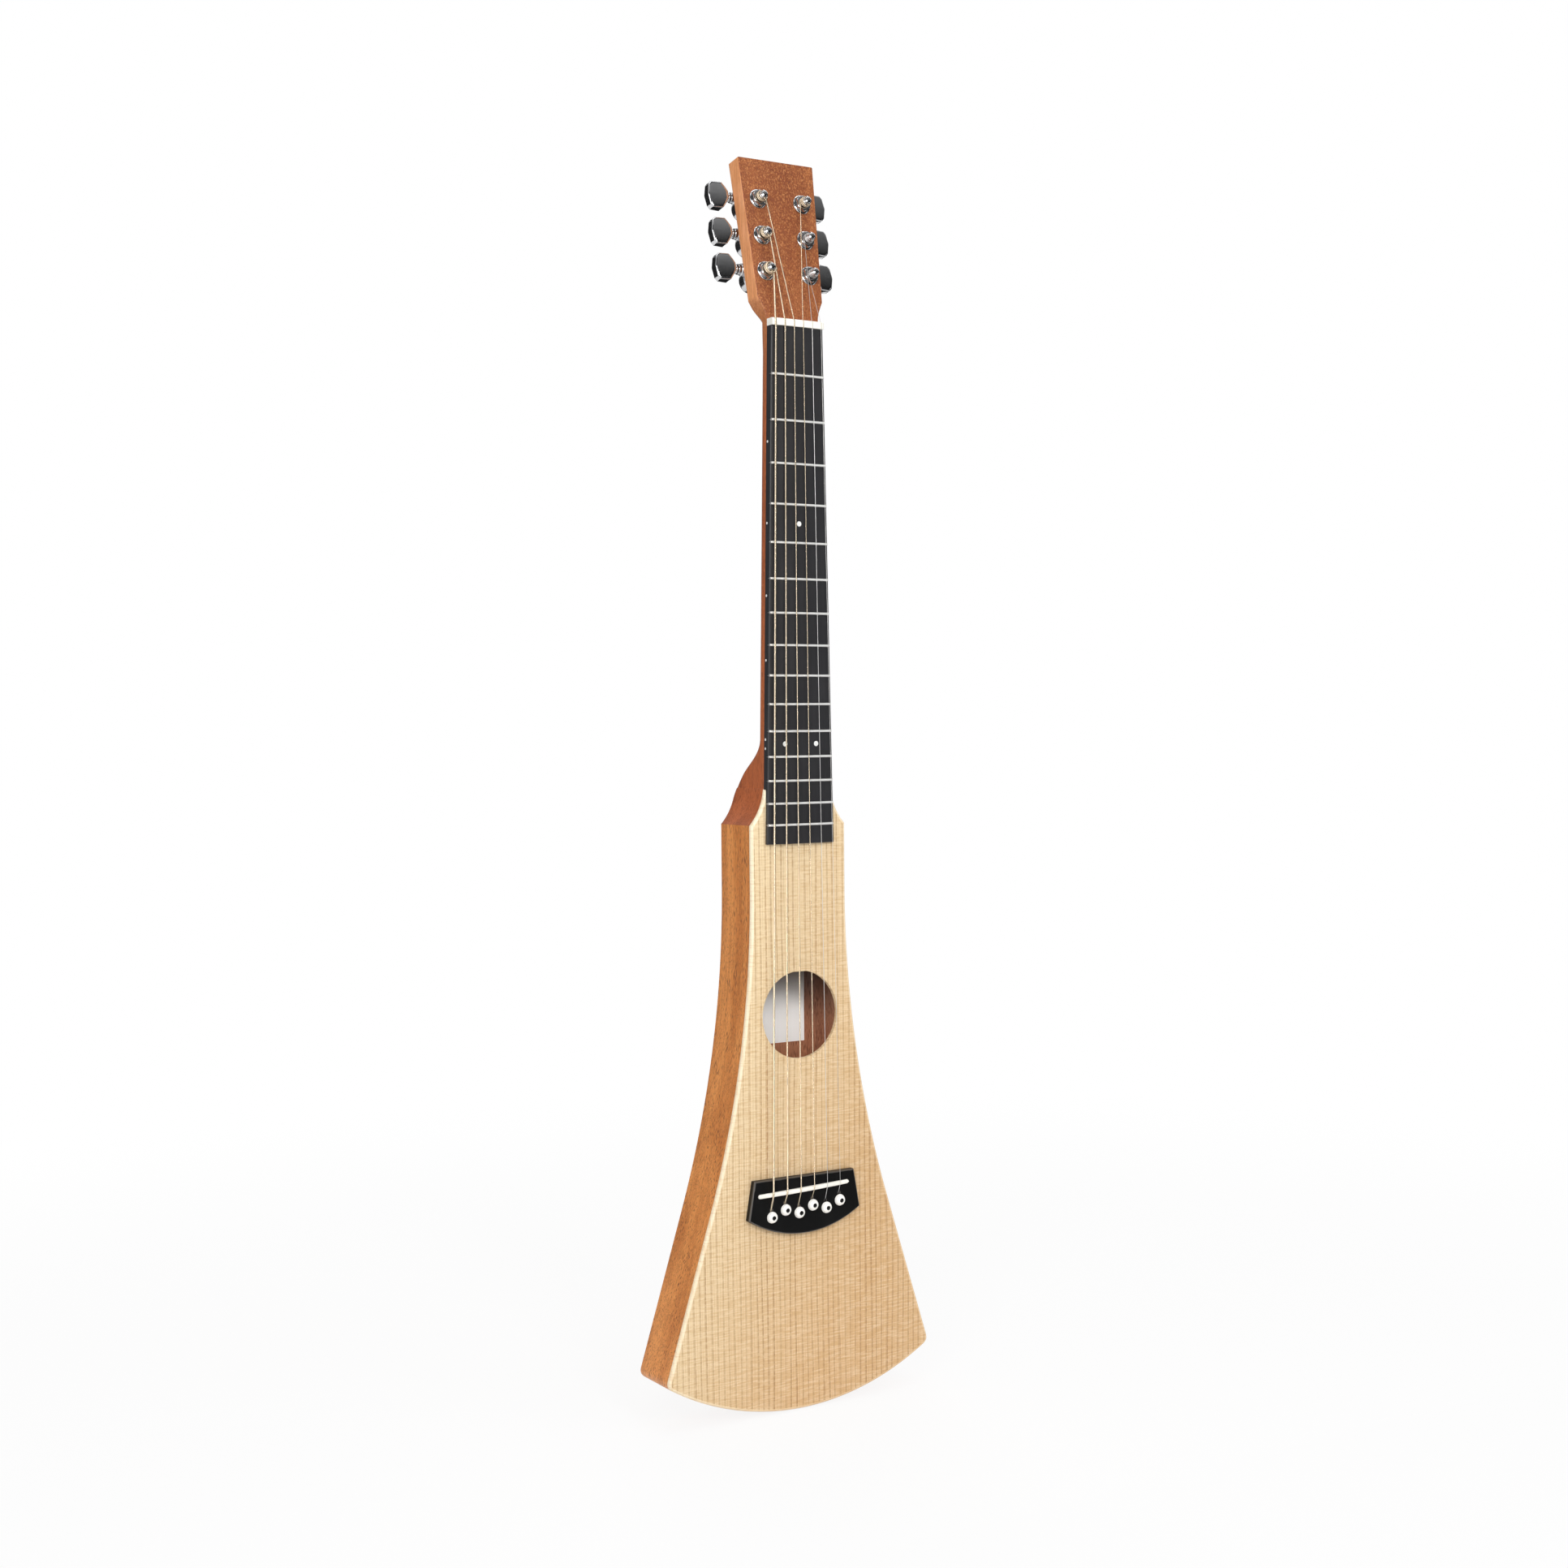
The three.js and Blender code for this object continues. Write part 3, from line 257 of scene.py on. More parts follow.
# %% [markdown]
# The white behind the guitar comes from the world and the floor as the camera, mirrors and glass
# see them. To scattered light the world has less than half that strength, so the white doesn't
# wash out the guitar. The floor is a large pale plane just under the guitar's end, and near it a
# share of its plain shading is kept, which holds the soft shadow.

# %% World and floor
def seen_directly(value):
    """1 for rays from the camera, from a mirror or through glass, and 0 for light that scatters."""
    path = value.node("ShaderNodeLightPath")
    outputs = path.socket.node.outputs
    rays = [Value(value.tree, outputs[name]) for name in
            ("Is Camera Ray", "Is Glossy Ray", "Is Transmission Ray")]
    return rays[0].maths("MAXIMUM", rays[1]).maths("MAXIMUM", rays[2])


AMBIENT = 0.42
world = bpy.data.worlds.new("studio")
bpy.context.scene.world = world
world.use_nodes = True
world_tree = world.node_tree
background = world_tree.nodes["Background"]
start = Value(world_tree, background.outputs[0])
strength = seen_directly(start) * (1.0 - AMBIENT) + AMBIENT
background.inputs["Color"].default_value = (1.0, 1.0, 1.0, 1.0)
world_tree.links.new(strength.socket, background.inputs["Strength"])


def glow_from(value, strength):
    """A white Emission shader of a given strength."""
    return value.node("ShaderNodeEmission", None,
                      {"Color": (1.0, 1.0, 1.0, 1.0), "Strength": strength})


def show(shader):
    """Link a shader to its tree's output, in place of the Principled one."""
    shader.tree.links.new(shader.socket, shader.tree.nodes["Material Output"].inputs["Surface"])


FLOOR_DROP, FLOOR_SIZE = 0.776, 60.0
SHADE_NEAR, SHADE_FAR, GLOW_SHARE = 0.85, 1.6, 0.88
floor_material, spot, _ = new_material("pale_floor", (0.86, 0.86, 0.86), Roughness=0.9)
matt = Value(spot.tree, spot.tree.nodes["Principled BSDF"].outputs[0])
glow = glow_from(matt, 1.0)
distance = spot.node("ShaderNodeVectorMath", {"operation": "LENGTH"}, {0: spot}, output=1)
away = distance.step(SHADE_NEAR, SHADE_FAR, GLOW_SHARE, 1.0)
show(glow.node("ShaderNodeMixShader", None, {0: seen_directly(glow) * away, 1: matt, 2: glow}))


def flat_card(name, centre, across, up, size, material):
    """A flat card of the backdrop: width and height in metres, a middle, and two directions."""
    across, up = np.array(across, float) * size[0] / 2, np.array(up, float) * size[1] / 2
    corners = [np.array(centre) + a * across + b * up for a, b in ((-1, -1), (1, -1), (1, 1), (-1, 1))]
    mesh = bpy.data.meshes.new(name)
    mesh.from_pydata([tuple(corner) for corner in corners], [], [(0, 1, 2, 3)])
    mesh.materials.append(material)
    card = bpy.data.objects.new(name, mesh)
    bpy.context.scene.collection.objects.link(card)
    return card


flat_card("floor", (0.0, 0.0, -FLOOR_DROP), (1, 0, 0), (0, 1, 0), (FLOOR_SIZE, FLOOR_SIZE),
          floor_material)

# %% [markdown]
# A photographer gives chrome its shape with black cards, because a mirror in a white room is
# white. Six large black cards stand round the guitar, with white gaps between them, and five small
# grey ones, which glow faintly, hang near the headstock for the keys and the bushings. Only mirror
# rays see them: they cast no shadow, and no camera shows them.

# %% Black and grey cards
CARD_BLACK = new_material("card_black", (0.012, 0.012, 0.013), Roughness=1.0)[0]
CARDS = {
    "card_front": ((0.70, -1.35, 0.40), (0.83, 0.56, 0.0), (0.0, 0.0, 1.0), (1.65, 2.3)),
    "card_floor": ((0.45, -0.80, -0.774), (1.0, 0.0, 0.0), (0.0, 1.0, 0.0), (1.3, 1.1)),
    "card_left": ((-1.00, 1.60, 0.60), (0.85, 0.53, 0.0), (0.0, 0.0, 1.0), (1.7, 4.2)),
    "card_right": ((1.30, -0.10, 0.15), (0.10, 0.99, 0.0), (0.0, 0.0, 1.0), (0.9, 1.2)),
    "card_behind": ((0.80, 1.45, 0.20), (1.0, 0.0, 0.0), (0.0, 0.0, 1.0), (1.6, 1.9)),
    "card_side": ((-1.15, -0.65, 1.05), (0.49, -0.87, 0.0), (0.0, 0.0, 1.0), (0.9, 0.9)),
}
HEAD_MIDDLE = np.array((0.0, 0.0, 0.07))
GREY_CARDS = {
    "card_keys_left": ((0.26, -0.79, 0.57), 0.50, 0.40, (0.01, 0.30)),
    "card_keys_right": ((0.72, -0.50, 0.49), 0.50, 0.40, (0.01, 0.22)),
    "card_keys_under": ((0.26, 0.79, -0.57), 0.50, 0.34, (0.02, 0.02)),
    "card_bushings": ((-0.38, -0.72, 0.46), 0.50, 0.28, (0.03, 0.07)),
    "card_over": ((0.10, -0.62, 0.95), 0.60, 0.44, (0.04, 0.04)),
}


def seen_by_mirrors_only(card):
    """Leave a card to mirror rays: no camera, shadow or soft light meets it."""
    card.visible_camera = False
    card.visible_diffuse = False
    card.visible_shadow = False
    card.visible_transmission = False


def grey_card(name, towards, reach, size, shades):
    """A square card at a reach from the headstock, facing it, that fades from foot to head."""
    towards = np.array(towards) / np.linalg.norm(towards)
    sideways = np.cross(towards, (0.0, 0.0, 1.0))
    sideways = sideways / np.linalg.norm(sideways)
    upright = np.cross(sideways, towards)
    centre = HEAD_MIDDLE + reach * towards
    half = size / 2 * upright[2]
    material, place, _ = new_material(name, (shades[0], shades[0], shades[0]))
    show(glow_from(place, place.axis("Z").step(centre[2] - half, centre[2] + half, *shades)))
    return flat_card(name, centre, sideways, upright, (size, size), material)


for card_name, (centre, sideways, upright, size) in CARDS.items():
    seen_by_mirrors_only(flat_card(card_name, centre, sideways, upright, size, CARD_BLACK))
for card_name, settings in GREY_CARDS.items():
    seen_by_mirrors_only(grey_card(card_name, *settings))
print("cards:", len(CARDS), "black and", len(GREY_CARDS), "grey")

# %% [markdown]
# Every new piece here is a surface worked out with numpy. A grid of points is one array of rows
# and columns, so a whole loft is a few sums. One helper turns grids into a mesh, and a piece may
# be built of several grids that meet at their edges, where doubled points are merged.

# %% Turn grids of points into a piece
def grid_faces(rows, columns, closed=False, start=0):
    """Four-sided faces of a grid whose point (r, c) has the number r * columns + c + start."""
    row = np.arange(rows - 1)[:, None]
    column = np.arange(columns if closed else columns - 1)[None, :]
    ahead = (column + 1) % columns
    quads = np.stack([row * columns + column, row * columns + ahead,
                      (row + 1) * columns + ahead, (row + 1) * columns + column], axis=-1)
    return quads.reshape(-1, 4) + start


def ribbon(first, second):
    """A grid of two rows, from one line of points to another."""
    return np.stack([first, second])


def capped(grid):
    """The grid, closed along both ends by rows that shrink to their middles."""
    ends = [np.repeat(grid[row].mean(axis=0)[None], grid.shape[1], axis=0) for row in (0, -1)]
    return np.concatenate([ends[0][None], grid, ends[1][None]])


def rim(top, under):
    """Four ribbons that join the edges of two grids of the same size."""
    return [ribbon(top[0], under[0]), ribbon(top[-1], under[-1]),
            ribbon(top[:, 0], under[:, 0]), ribbon(top[:, -1], under[:, -1])]


def piece_from(name, grids, materials, closed=None, slots=None, sharp=32.0, merge=0.00001):
    """A piece made of grids in millimetres. Points nearer than merge, in metres, become one, faces
    are turned outwards, and edges sharper than the given angle stay sharp in the shading."""
    closed = closed or [False] * len(grids)
    slots = slots or [0] * len(grids)
    points, faces, paints = [], [], []
    total = 0
    for grid, around, slot in zip(grids, closed, slots):
        rows, columns = grid.shape[:2]
        points.append(grid.reshape(-1, 3))
        made = grid_faces(rows, columns, around, total)
        faces.append(made)
        paints.append(np.full(len(made), slot))
        total += rows * columns
    mesh = bpy.data.meshes.new(name)
    mesh.from_pydata(np.concatenate(points) * MM, [], np.concatenate(faces).tolist())
    mesh.polygons.foreach_set("material_index", np.concatenate(paints).astype(np.int32))
    for material in materials:
        mesh.materials.append(material)
    shape = bmesh.new()
    shape.from_mesh(mesh)
    bmesh.ops.remove_doubles(shape, verts=shape.verts, dist=merge)
    bmesh.ops.dissolve_degenerate(shape, edges=shape.edges, dist=merge / 10)
    bmesh.ops.recalc_face_normals(shape, faces=shape.faces)
    shape.to_mesh(mesh)
    shape.free()
    mesh.shade_smooth()
    mesh.set_sharp_from_angle(angle=math.radians(sharp))
    piece = bpy.data.objects.new(name, mesh)
    bpy.context.scene.collection.objects.link(piece)
    return piece


def place_piece(piece, body, slot, *nodes):
    """Say which body carries the piece, and which solids it stands for; slot, meant for its finish, is
    not used.
    """
    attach(piece, body)
    if nodes:
        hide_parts(*nodes)
    return piece


print("mesh helpers ready")

# %% [markdown]
# Spruce is pale and straight in the grain. Each year's growth darkens slowly and then stops at a
# thin brown line, so its colour is a saw-tooth across the board, bent a little by noise. Fine
# silky bands cross it, and a thin clear finish gives it a soft sheen. Toward the lower right its
# colour is painted darker and warmer, a painted shade where the light falls off, which is a slow
# ramp along x and z.

# %% Spruce
YEAR = 4.6


def spruce(name, pale=(0.87, 0.72, 0.455), line=(0.36, 0.165, 0.050), year=YEAR):
    """Growth lines: the fraction of (x + slow bend) / year, raised to a power, broken along z."""
    material, place, feed = new_material(name, pale, Roughness=0.42)
    drawn = place.stretched((1.0, 1.0, 0.03))
    bend = (place.stretched((1.0, 1.0, 0.5)).noise(5.0, 2.0) - 0.5) * 0.012
    spread = (drawn.noise(120.0, 2.0) - 0.5) * 0.0042
    across = (place.axis("X") + bend + spread) / (year * MM)
    ring = across.maths("FRACT")
    late = ring ** 4.5
    early = (across * 2.0 + 0.35).maths("FRACT") ** 9.0
    broken = place.stretched((300.0, 300.0, 420.0)).noise(1.0, 2.0).step(0.35, 0.58, 0.48, 1.0)
    strong = drawn.noise(70.0, 1.0).step(0.35, 0.65, 0.6, 1.0)
    fine = place.stretched((3200.0, 3200.0, 60.0)).noise(1.0, 2.0)
    silk = place.stretched((90.0, 90.0, 1100.0)).noise(1.0, 3.0, 0.6)
    cloud = place.stretched((7.0, 7.0, 2.0)).noise(1.0, 2.0)
    # Painted shade: a slow ramp darkens and warms the spruce toward the lower right, where the light
    # falls off.
    painted_falloff = (place.axis("X") - place.axis("Z") * 0.30 + (cloud - 0.5) * 0.10).step(0.03, 0.27)
    body = mix(painted_falloff, pale, (pale[0] * 0.765, pale[1] * 0.59, pale[2] * 0.46))
    body = mix(silk.step(0.40, 0.72) * 0.40, body, (0.97, 0.81, 0.57))
    body = mix(silk.step(0.30, 0.50, 0.34, 0.0), body, (0.62, 0.38, 0.17))
    body = mix(fine.step(0.45, 0.8) * 0.26, body, (0.64, 0.40, 0.19))
    body = mix(early * broken * 0.55, body, line)
    colour = mix(late * broken * strong, body, line)
    feed(Base_Color=colour,
         Roughness=fine * 0.10 + 0.38,
         Normal=bumped(late * 0.4 + fine * 0.6, 0.00005))
    return material


SPRUCE = spruce("spruce")
# A much paler copy of the spruce is a painted highlight for the soundboard's rounded edge.
SPRUCE_PAINTED_HIGHLIGHT = spruce("spruce_painted_highlight", (1.0, 0.92, 0.70), (0.80, 0.58, 0.33))
BRACE = spruce("plain_spruce", pale=(0.72, 0.52, 0.30), year=2.4)
print("growth lines", YEAR, "mm apart")

# %% [markdown]
# Mahogany is open-pored: its colour drifts in soft ribbons along the grain, and the cut ends of
# its vessels show as short dark flecks. The body's sides are lighter and more orange than the
# redder neck. The headstock leans back across the grain, so its face cuts the vessels short: it
# is full of small flecks, and one ramp along z leads from the neck's look to this one. Inside the
# body another ramp along z dulls the wood toward the soundhole's upper rim, which shades it.

# %% Mahogany
def mahogany(name, light, dark, head=None, fleck=1.0, gloss=0.42, shade=0.0):
    """Ribbons: noise drawn out along z. Pores: cells drawn out along z, dark near their middles.
    head gives the headstock's two colours, and shade is how much the hollow is dulled."""
    material, place, feed = new_material(name, light, Roughness=gloss)
    pore = (0.075, 0.022, 0.008)
    paler = tuple(min(part * 1.5, 1.0) for part in light)
    ribbons = place.stretched((55.0, 55.0, 3.2)).noise(1.0, 4.0, 0.6)
    streaks = place.stretched((520.0, 520.0, 14.0)).noise(1.0, 3.0, 0.6)
    # Painted glints: small paler flecks in the colour stand in for light caught by the grain.
    painted_glints = place.stretched((1300.0, 1300.0, 200.0)).noise(1.0, 2.0)
    long_pores = place.stretched((1000.0, 1000.0, 150.0)).cells()
    short_pores = place.stretched((1500.0, 1500.0, 380.0)).cells()
    patches = place.stretched((140.0, 140.0, 40.0)).noise(1.0, 2.0).step(0.36, 0.64)
    marks = (long_pores.step(0.14, 0.44, 1.0, 0.0) * patches
             + short_pores.step(0.12, 0.40, 0.8, 0.0) * (1.0 - patches)).maths("MINIMUM", 1.0)
    wood = mix(ribbons.step(0.32, 0.68), light, dark)
    wood = mix(streaks.step(0.42, 0.75) * 0.5, wood, tuple(part * 0.55 for part in dark))
    wood = mix(painted_glints.step(0.52, 0.78) * 0.42, wood, paler)
    wood = mix(marks * (0.72 * fleck), wood, pore)
    if head:
        head_light, head_dark = head
        cut = place.stretched((1000.0, 1000.0, 620.0)).noise(1.0, 2.0, 0.7)
        dots = place.stretched((1250.0, 1250.0, 800.0)).cells().step(0.16, 0.42, 1.0, 0.0)
        face = mix(ribbons.step(0.32, 0.68), head_light, head_dark)
        face = mix(cut.step(0.50, 0.68) * 0.75, face, (0.60, 0.25, 0.080))
        face = mix(cut.step(0.34, 0.50, 0.65, 0.0), face, (0.185, 0.047, 0.017))
        face = mix(dots * 0.55, face, pore)
        # Painted light on real side grain: the headstock's sides, which face across, take side grain's
        # streaks and pores in a tone painted lighter, as if lit.
        facing = Value(place.tree, place.socket.node.outputs["Normal"]).axis("X")
        edge = mix(streaks.step(0.40, 0.65), (0.72, 0.29, 0.112), (0.91, 0.41, 0.178))
        edge = mix(marks * 0.35, edge, head_dark)
        painted_flank = abs(facing).step(0.6, 0.9) * place.axis("Z").step(0.016, 0.022, 0.4, 1.0)
        face = mix(painted_flank, face, edge)
        wood = mix(place.axis("Z").step(-0.07, 0.03), wood, face)
    if shade:
        wood = mix(place.axis("Z").step(-0.516, -0.462) * shade, wood, (0.035, 0.014, 0.007))
    feed(Base_Color=wood,
         Roughness=marks * 0.25 + (gloss - 0.02),
         Normal=bumped(1.0 - marks, 0.00009, 0.7))
    return material


BODY_WOOD = mahogany("body_mahogany", (0.83, 0.325, 0.086), (0.58, 0.19, 0.040), fleck=1.3)
NECK_WOOD = mahogany("neck_mahogany", (0.53, 0.145, 0.047), (0.345, 0.084, 0.024),
                     head=((0.355, 0.104, 0.027), (0.25, 0.062, 0.015)), fleck=0.8)
INNER_WOOD = mahogany("inner_mahogany", (0.62, 0.27, 0.145), (0.42, 0.165, 0.085),
                      gloss=0.6, shade=0.88)
PLATE_WOOD = mahogany("plate_mahogany", (0.35, 0.14, 0.05), (0.24, 0.09, 0.03))
print("mahoganies:", BODY_WOOD.name, NECK_WOOD.name, INNER_WOOD.name, PLATE_WOOD.name)

# %% [markdown]
# The fretboard and the bridge are pressed from black laminate: very dark, a little satin, with a
# faint fibre. A lighter, warmer copy of it on the bridge's bevels is a painted reflection of the
# pale top. The nut and the saddle are moulded in a warm white that looks like bone, and the bridge
# pins in a plainer white plastic.

# %% Laminate and white plastics
def laminate(name, colour, gloss, fibre=0.3, shine=0.5):
    """Near black, with noise drawn out along z for its pressed fibre."""
    material, place, feed = new_material(name, colour, Roughness=gloss, Specular_IOR_Level=shine)
    fibres = place.stretched((1500.0, 1500.0, 60.0)).noise(1.0, 3.0, 0.6)
    haze = place.stretched((40.0, 40.0, 18.0)).noise(1.0, 3.0)
    lighter = tuple(part * 1.9 + 0.004 for part in colour)
    base = mix(fibres.step(0.4, 0.8) * fibre, colour, lighter)
    feed(Base_Color=mix(haze.step(0.45, 0.8) * 0.35, base, lighter),
         Roughness=haze * 0.16 + fibres * 0.10 + (gloss - 0.12),
         Normal=bumped(fibres, 0.00004, 0.6))
    return material


def moulded(name, colour, shade, gloss):
    """A pale moulded material with slow clouds and a fine, hardly seen grain."""
    material, place, feed = new_material(name, colour, Roughness=gloss)
    clouds = place.stretched((180.0, 180.0, 180.0)).noise(1.0, 3.0)
    fine = place.stretched((900.0, 900.0, 360.0)).noise(1.0, 2.0)
    feed(Base_Color=mix(clouds.step(0.35, 0.75) * 0.6 + fine * 0.15, colour, shade),
         Roughness=fine * 0.12 + (gloss - 0.06),
         Normal=bumped(fine, 0.00003, 0.5))
    return material


BLACK_BOARD = laminate("black_board", (0.0195, 0.0192, 0.0215), 0.42)
BLACK_BRIDGE = laminate("black_bridge", (0.0024, 0.0024, 0.0026), 0.40, 0.12, 0.28)
BEVEL_PAINTED_REFLECTION = laminate("bevel_painted_reflection", (0.050, 0.044, 0.038), 0.38, 0.12, 0.8)
BONE_WHITE = moulded("bone_white", (0.96, 0.94, 0.87), (0.88, 0.84, 0.74), 0.34)
PIN_WHITE = moulded("pin_white", (0.96, 0.95, 0.91), (0.88, 0.86, 0.80), 0.28)
DOT_WHITE = moulded("dot_white", (0.88, 0.88, 0.86), (0.78, 0.78, 0.76), 0.30)
DOT_BLACK = moulded("dot_black", (0.007, 0.007, 0.007), (0.013, 0.013, 0.013), 0.25)
print("three laminates and four plastics")

# %% [markdown]
# The metals are nickel silver on the frets, bronze round the four wound strings, bare steel on
# the two plain ones, and chrome on the tuning machines. Each is a metal with small changes in its
# roughness, because fingers and wiping leave faint marks, and the winding is a fine bump with
# painted shade in the gaps between its turns. A fret's crown, where it faces the strings, has a
# painted highlight, and its flanks have painted shade.

# %% Metals
def metal(name, colour, gloss, smudge=0.12):
    """A metal whose roughness changes slowly, with fine wiping marks."""
    material, place, feed = new_material(name, colour, Roughness=gloss, Metallic=1.0)
    clouds = place.stretched((70.0, 70.0, 70.0)).noise(1.0, 3.0)
    wiping = place.stretched((2500.0, 2500.0, 300.0)).noise(1.0, 2.0)
    darker = tuple(part * 0.85 for part in colour)
    feed(Base_Color=mix(clouds.step(0.4, 0.8), colour, darker),
         Roughness=clouds * smudge + wiping * 0.05 + (gloss - smudge / 2),
         Normal=bumped(wiping, 0.000006, 0.4))
    return material


def painted_crown_metal(name, colour, painted_flank, gloss):
    """Fret wire: painted shade on its flanks, and a painted highlight where it faces the strings."""
    material, place, feed = new_material(name, colour, Roughness=gloss, Metallic=1.0)
    facing = Value(place.tree, place.socket.node.outputs["Normal"]).axis("Y")
    # Painted highlight on the crown, which is also made less metallic, and painted shade on the
    # flanks, by how far the surface faces the strings.
    crown = abs(facing).step(0.72, 0.95)
    worn = place.stretched((400.0, 900.0, 900.0)).noise(1.0, 2.0)
    feed(Base_Color=mix(crown, painted_flank, colour),
         Metallic=1.0 - crown * 0.6,
         Roughness=worn * 0.12 + (gloss - 0.06),
         Normal=bumped(worn, 0.000006, 0.4))
    return material


def wound(name, colour, pitch):
    """Bronze wire wound on a core: a sine along the string's own u coordinate, in metres."""
    material, place, feed = new_material(name, colour, Roughness=0.24, Metallic=1.0)
    turns = place.node("ShaderNodeUVMap", {"uv_map": "along"})
    wave = (turns.axis("X") * (2.0 * math.pi / pitch)).maths("SINE") * 0.5 + 0.5
    dirt = place.stretched((120.0, 120.0, 120.0)).noise(1.0, 3.0)
    # Painted shade: the gaps between the turns are darkened.
    gaps = (1.0 - wave) ** 3.0
    base = mix(dirt.step(0.45, 0.8) * 0.5, colour, tuple(part * 0.7 for part in colour))
    feed(Base_Color=mix(gaps * 0.45, base, tuple(part * 0.30 for part in colour)),
         Roughness=dirt * 0.15 + gaps * 0.2 + 0.16,
         Normal=bumped(wave, pitch * 0.12))
    return material


FRET_METAL = painted_crown_metal("fret_metal", (0.98, 0.98, 0.96), (0.30, 0.29, 0.28), 0.33)
STEEL = metal("plain_steel", (0.84, 0.82, 0.80), 0.34)
CHROME = metal("chrome", (0.66, 0.66, 0.67), 0.07, smudge=0.05)
CASTING = metal("chrome_cover", (0.66, 0.66, 0.67), 0.14, smudge=0.08)
BRONZE = wound("wound_bronze", (0.98, 0.82, 0.60), 0.00042)
print("metals ready")

# %% [markdown]
# The body's outline is the guitar's character: narrow and straight at the shoulder, then an arc
# that flares into straight sides, small round corners, and a wide shallow arc at the end. The same
# outline, drawn in by an inset, gives the rounded edges and the hollow inside.

# %% Outline of the body
SHOULDER, HALF_SHOULDER, FLARE_START, FLARE_RADIUS = 353.4, 39.5, 400.0, 760.0
FLARE = math.radians(17.5)
CORNER_DROP, BODY_END, CORNER_RADIUS = 742.7, 775.0, 5.0
BODY_DEPTH, TOP_THICKNESS, WALL, BACK, CAVITY_START = 40.7, 3.0, 6.0, 4.0, 380.0
WING_TOP, WING_HALF, WING_RADIUS = 328.0, 27.9, 43.0
HOLE_DROP, HOLE_RADIUS, HOLE_LIP = 490.0, 31.4, 0.35
EDGE_ROUND, COVE, TOP_ROUND = 1.2, 12.0, 1.9


def body_half(inset, top):
    """Right half from its top corner down to the middle of its end, as x and z: a line, an arc
    about (half shoulder + radius, -start), a line at 17.5 degrees, a rounded corner, an arc."""
    reach = FLARE_RADIUS + inset
    turns = np.linspace(math.asin(max(-top - FLARE_START, 0.0) / reach), FLARE, 40)
    flare = np.stack([HALF_SHOULDER + FLARE_RADIUS - reach * np.cos(turns),
                      -FLARE_START - reach * np.sin(turns)], axis=1)
    slope = math.tan(FLARE)
    side_x, side_z = flare[-1]
    outer = HALF_SHOULDER + FLARE_RADIUS * (1 - math.cos(FLARE))
    half = outer + (CORNER_DROP - FLARE_START - FLARE_RADIUS * math.sin(FLARE)) * slope
    rise = BODY_END - CORNER_DROP
    end_radius = (half ** 2 + rise ** 2) / (2 * rise)
    centre, radius = end_radius - BODY_END, end_radius - inset
    lead = side_x * slope - (side_z - centre)
    gap = side_x ** 2 + (side_z - centre) ** 2 - radius ** 2
    run = (-lead + math.sqrt(lead ** 2 - (1 + slope ** 2) * gap)) / (1 + slope ** 2)
    corner = np.array([side_x + run * slope, side_z - run])
    ease = max(CORNER_RADIUS - inset, CORNER_RADIUS / 2)
    turn = math.asin(corner[0] / radius) - ease / radius
    before = corner + ease * np.array([-math.sin(FLARE), math.cos(FLARE)])
    after = np.array([radius * math.sin(turn), centre - radius * math.cos(turn)])
    share = np.linspace(0.0, 1.0, 12)[:, None]
    rounded = (1 - share) ** 2 * before + 2 * share * (1 - share) * corner + share ** 2 * after
    straight = flare[-1] + (before - flare[-1]) * np.linspace(0.0, 1.0, 26)[1:-1, None]
    turns = turn * (1 - np.linspace(0.0, 1.0, 60)[1:])
    end = np.stack([radius * np.sin(turns), centre - radius * np.cos(turns)], axis=1)
    upper = np.linspace(top, flare[0, 1], 12)[:-1]
    upper = np.stack([np.full(len(upper), HALF_SHOULDER - inset), upper], axis=1)
    return np.concatenate([upper, flare, straight, rounded, end])


def wing_arc():
    """Centre, as x and drop, of the hollow arc of 43 mm through the shoulder's two ends."""
    rise, reach = SHOULDER - WING_TOP, HALF_SHOULDER - WING_HALF
    chord = math.hypot(rise, reach)
    away = math.sqrt(WING_RADIUS ** 2 - (chord / 2) ** 2)
    centre = (WING_HALF + HALF_SHOULDER) / 2 + away * rise / chord
    level = (WING_TOP + SHOULDER) / 2 - away * reach / chord
    return centre, level


def wing_half(drop, inset=0.0):
    """Half width of the neck's shoulder at a drop: the arc's centre less its reach there."""
    centre, level = wing_arc()
    return centre - np.sqrt((WING_RADIUS + inset) ** 2 - (np.asarray(drop) - level) ** 2)


def placed(half, y):
    """Points of x and z set at a depth y."""
    return np.stack([half[:, 0], np.full(len(half), y), half[:, 1]], axis=1)


def both(half):
    """A right half and its mirror image as one loop of points."""
    return np.concatenate([half, (half * (-1, 1, 1))[::-1][1:]])


def across(half):
    """A flat or hollow strip from a right half to its mirror image."""
    return ribbon(half, half * (-1, 1, 1))


outline = body_half(0.0, -SHOULDER)
print("body is", round(2 * outline[:, 0].max(), 1), "mm wide and",
      round(-outline[:, 1].min() - SHOULDER, 1), "mm long")

# %% [markdown]
# The body is one block of mahogany, hollowed from the front until walls of 6 mm and a back of
# 4 mm are left, with a cove where a router's round bit ran along the bottom. Rings of the outline
# at growing depths make the outside, and the same rings with a larger inset make the hollow.

# %% Body block
def quarter(radius, steps):
    """A quarter round as pairs, for t from 0 to 90 degrees: radius (1 - sin t) is left to the face
    while the side is drawn in by radius (1 - cos t)."""
    t = np.linspace(0.0, math.pi / 2, steps)
    return np.stack([radius * (1 - np.sin(t)), radius * (1 - np.cos(t))], axis=1)


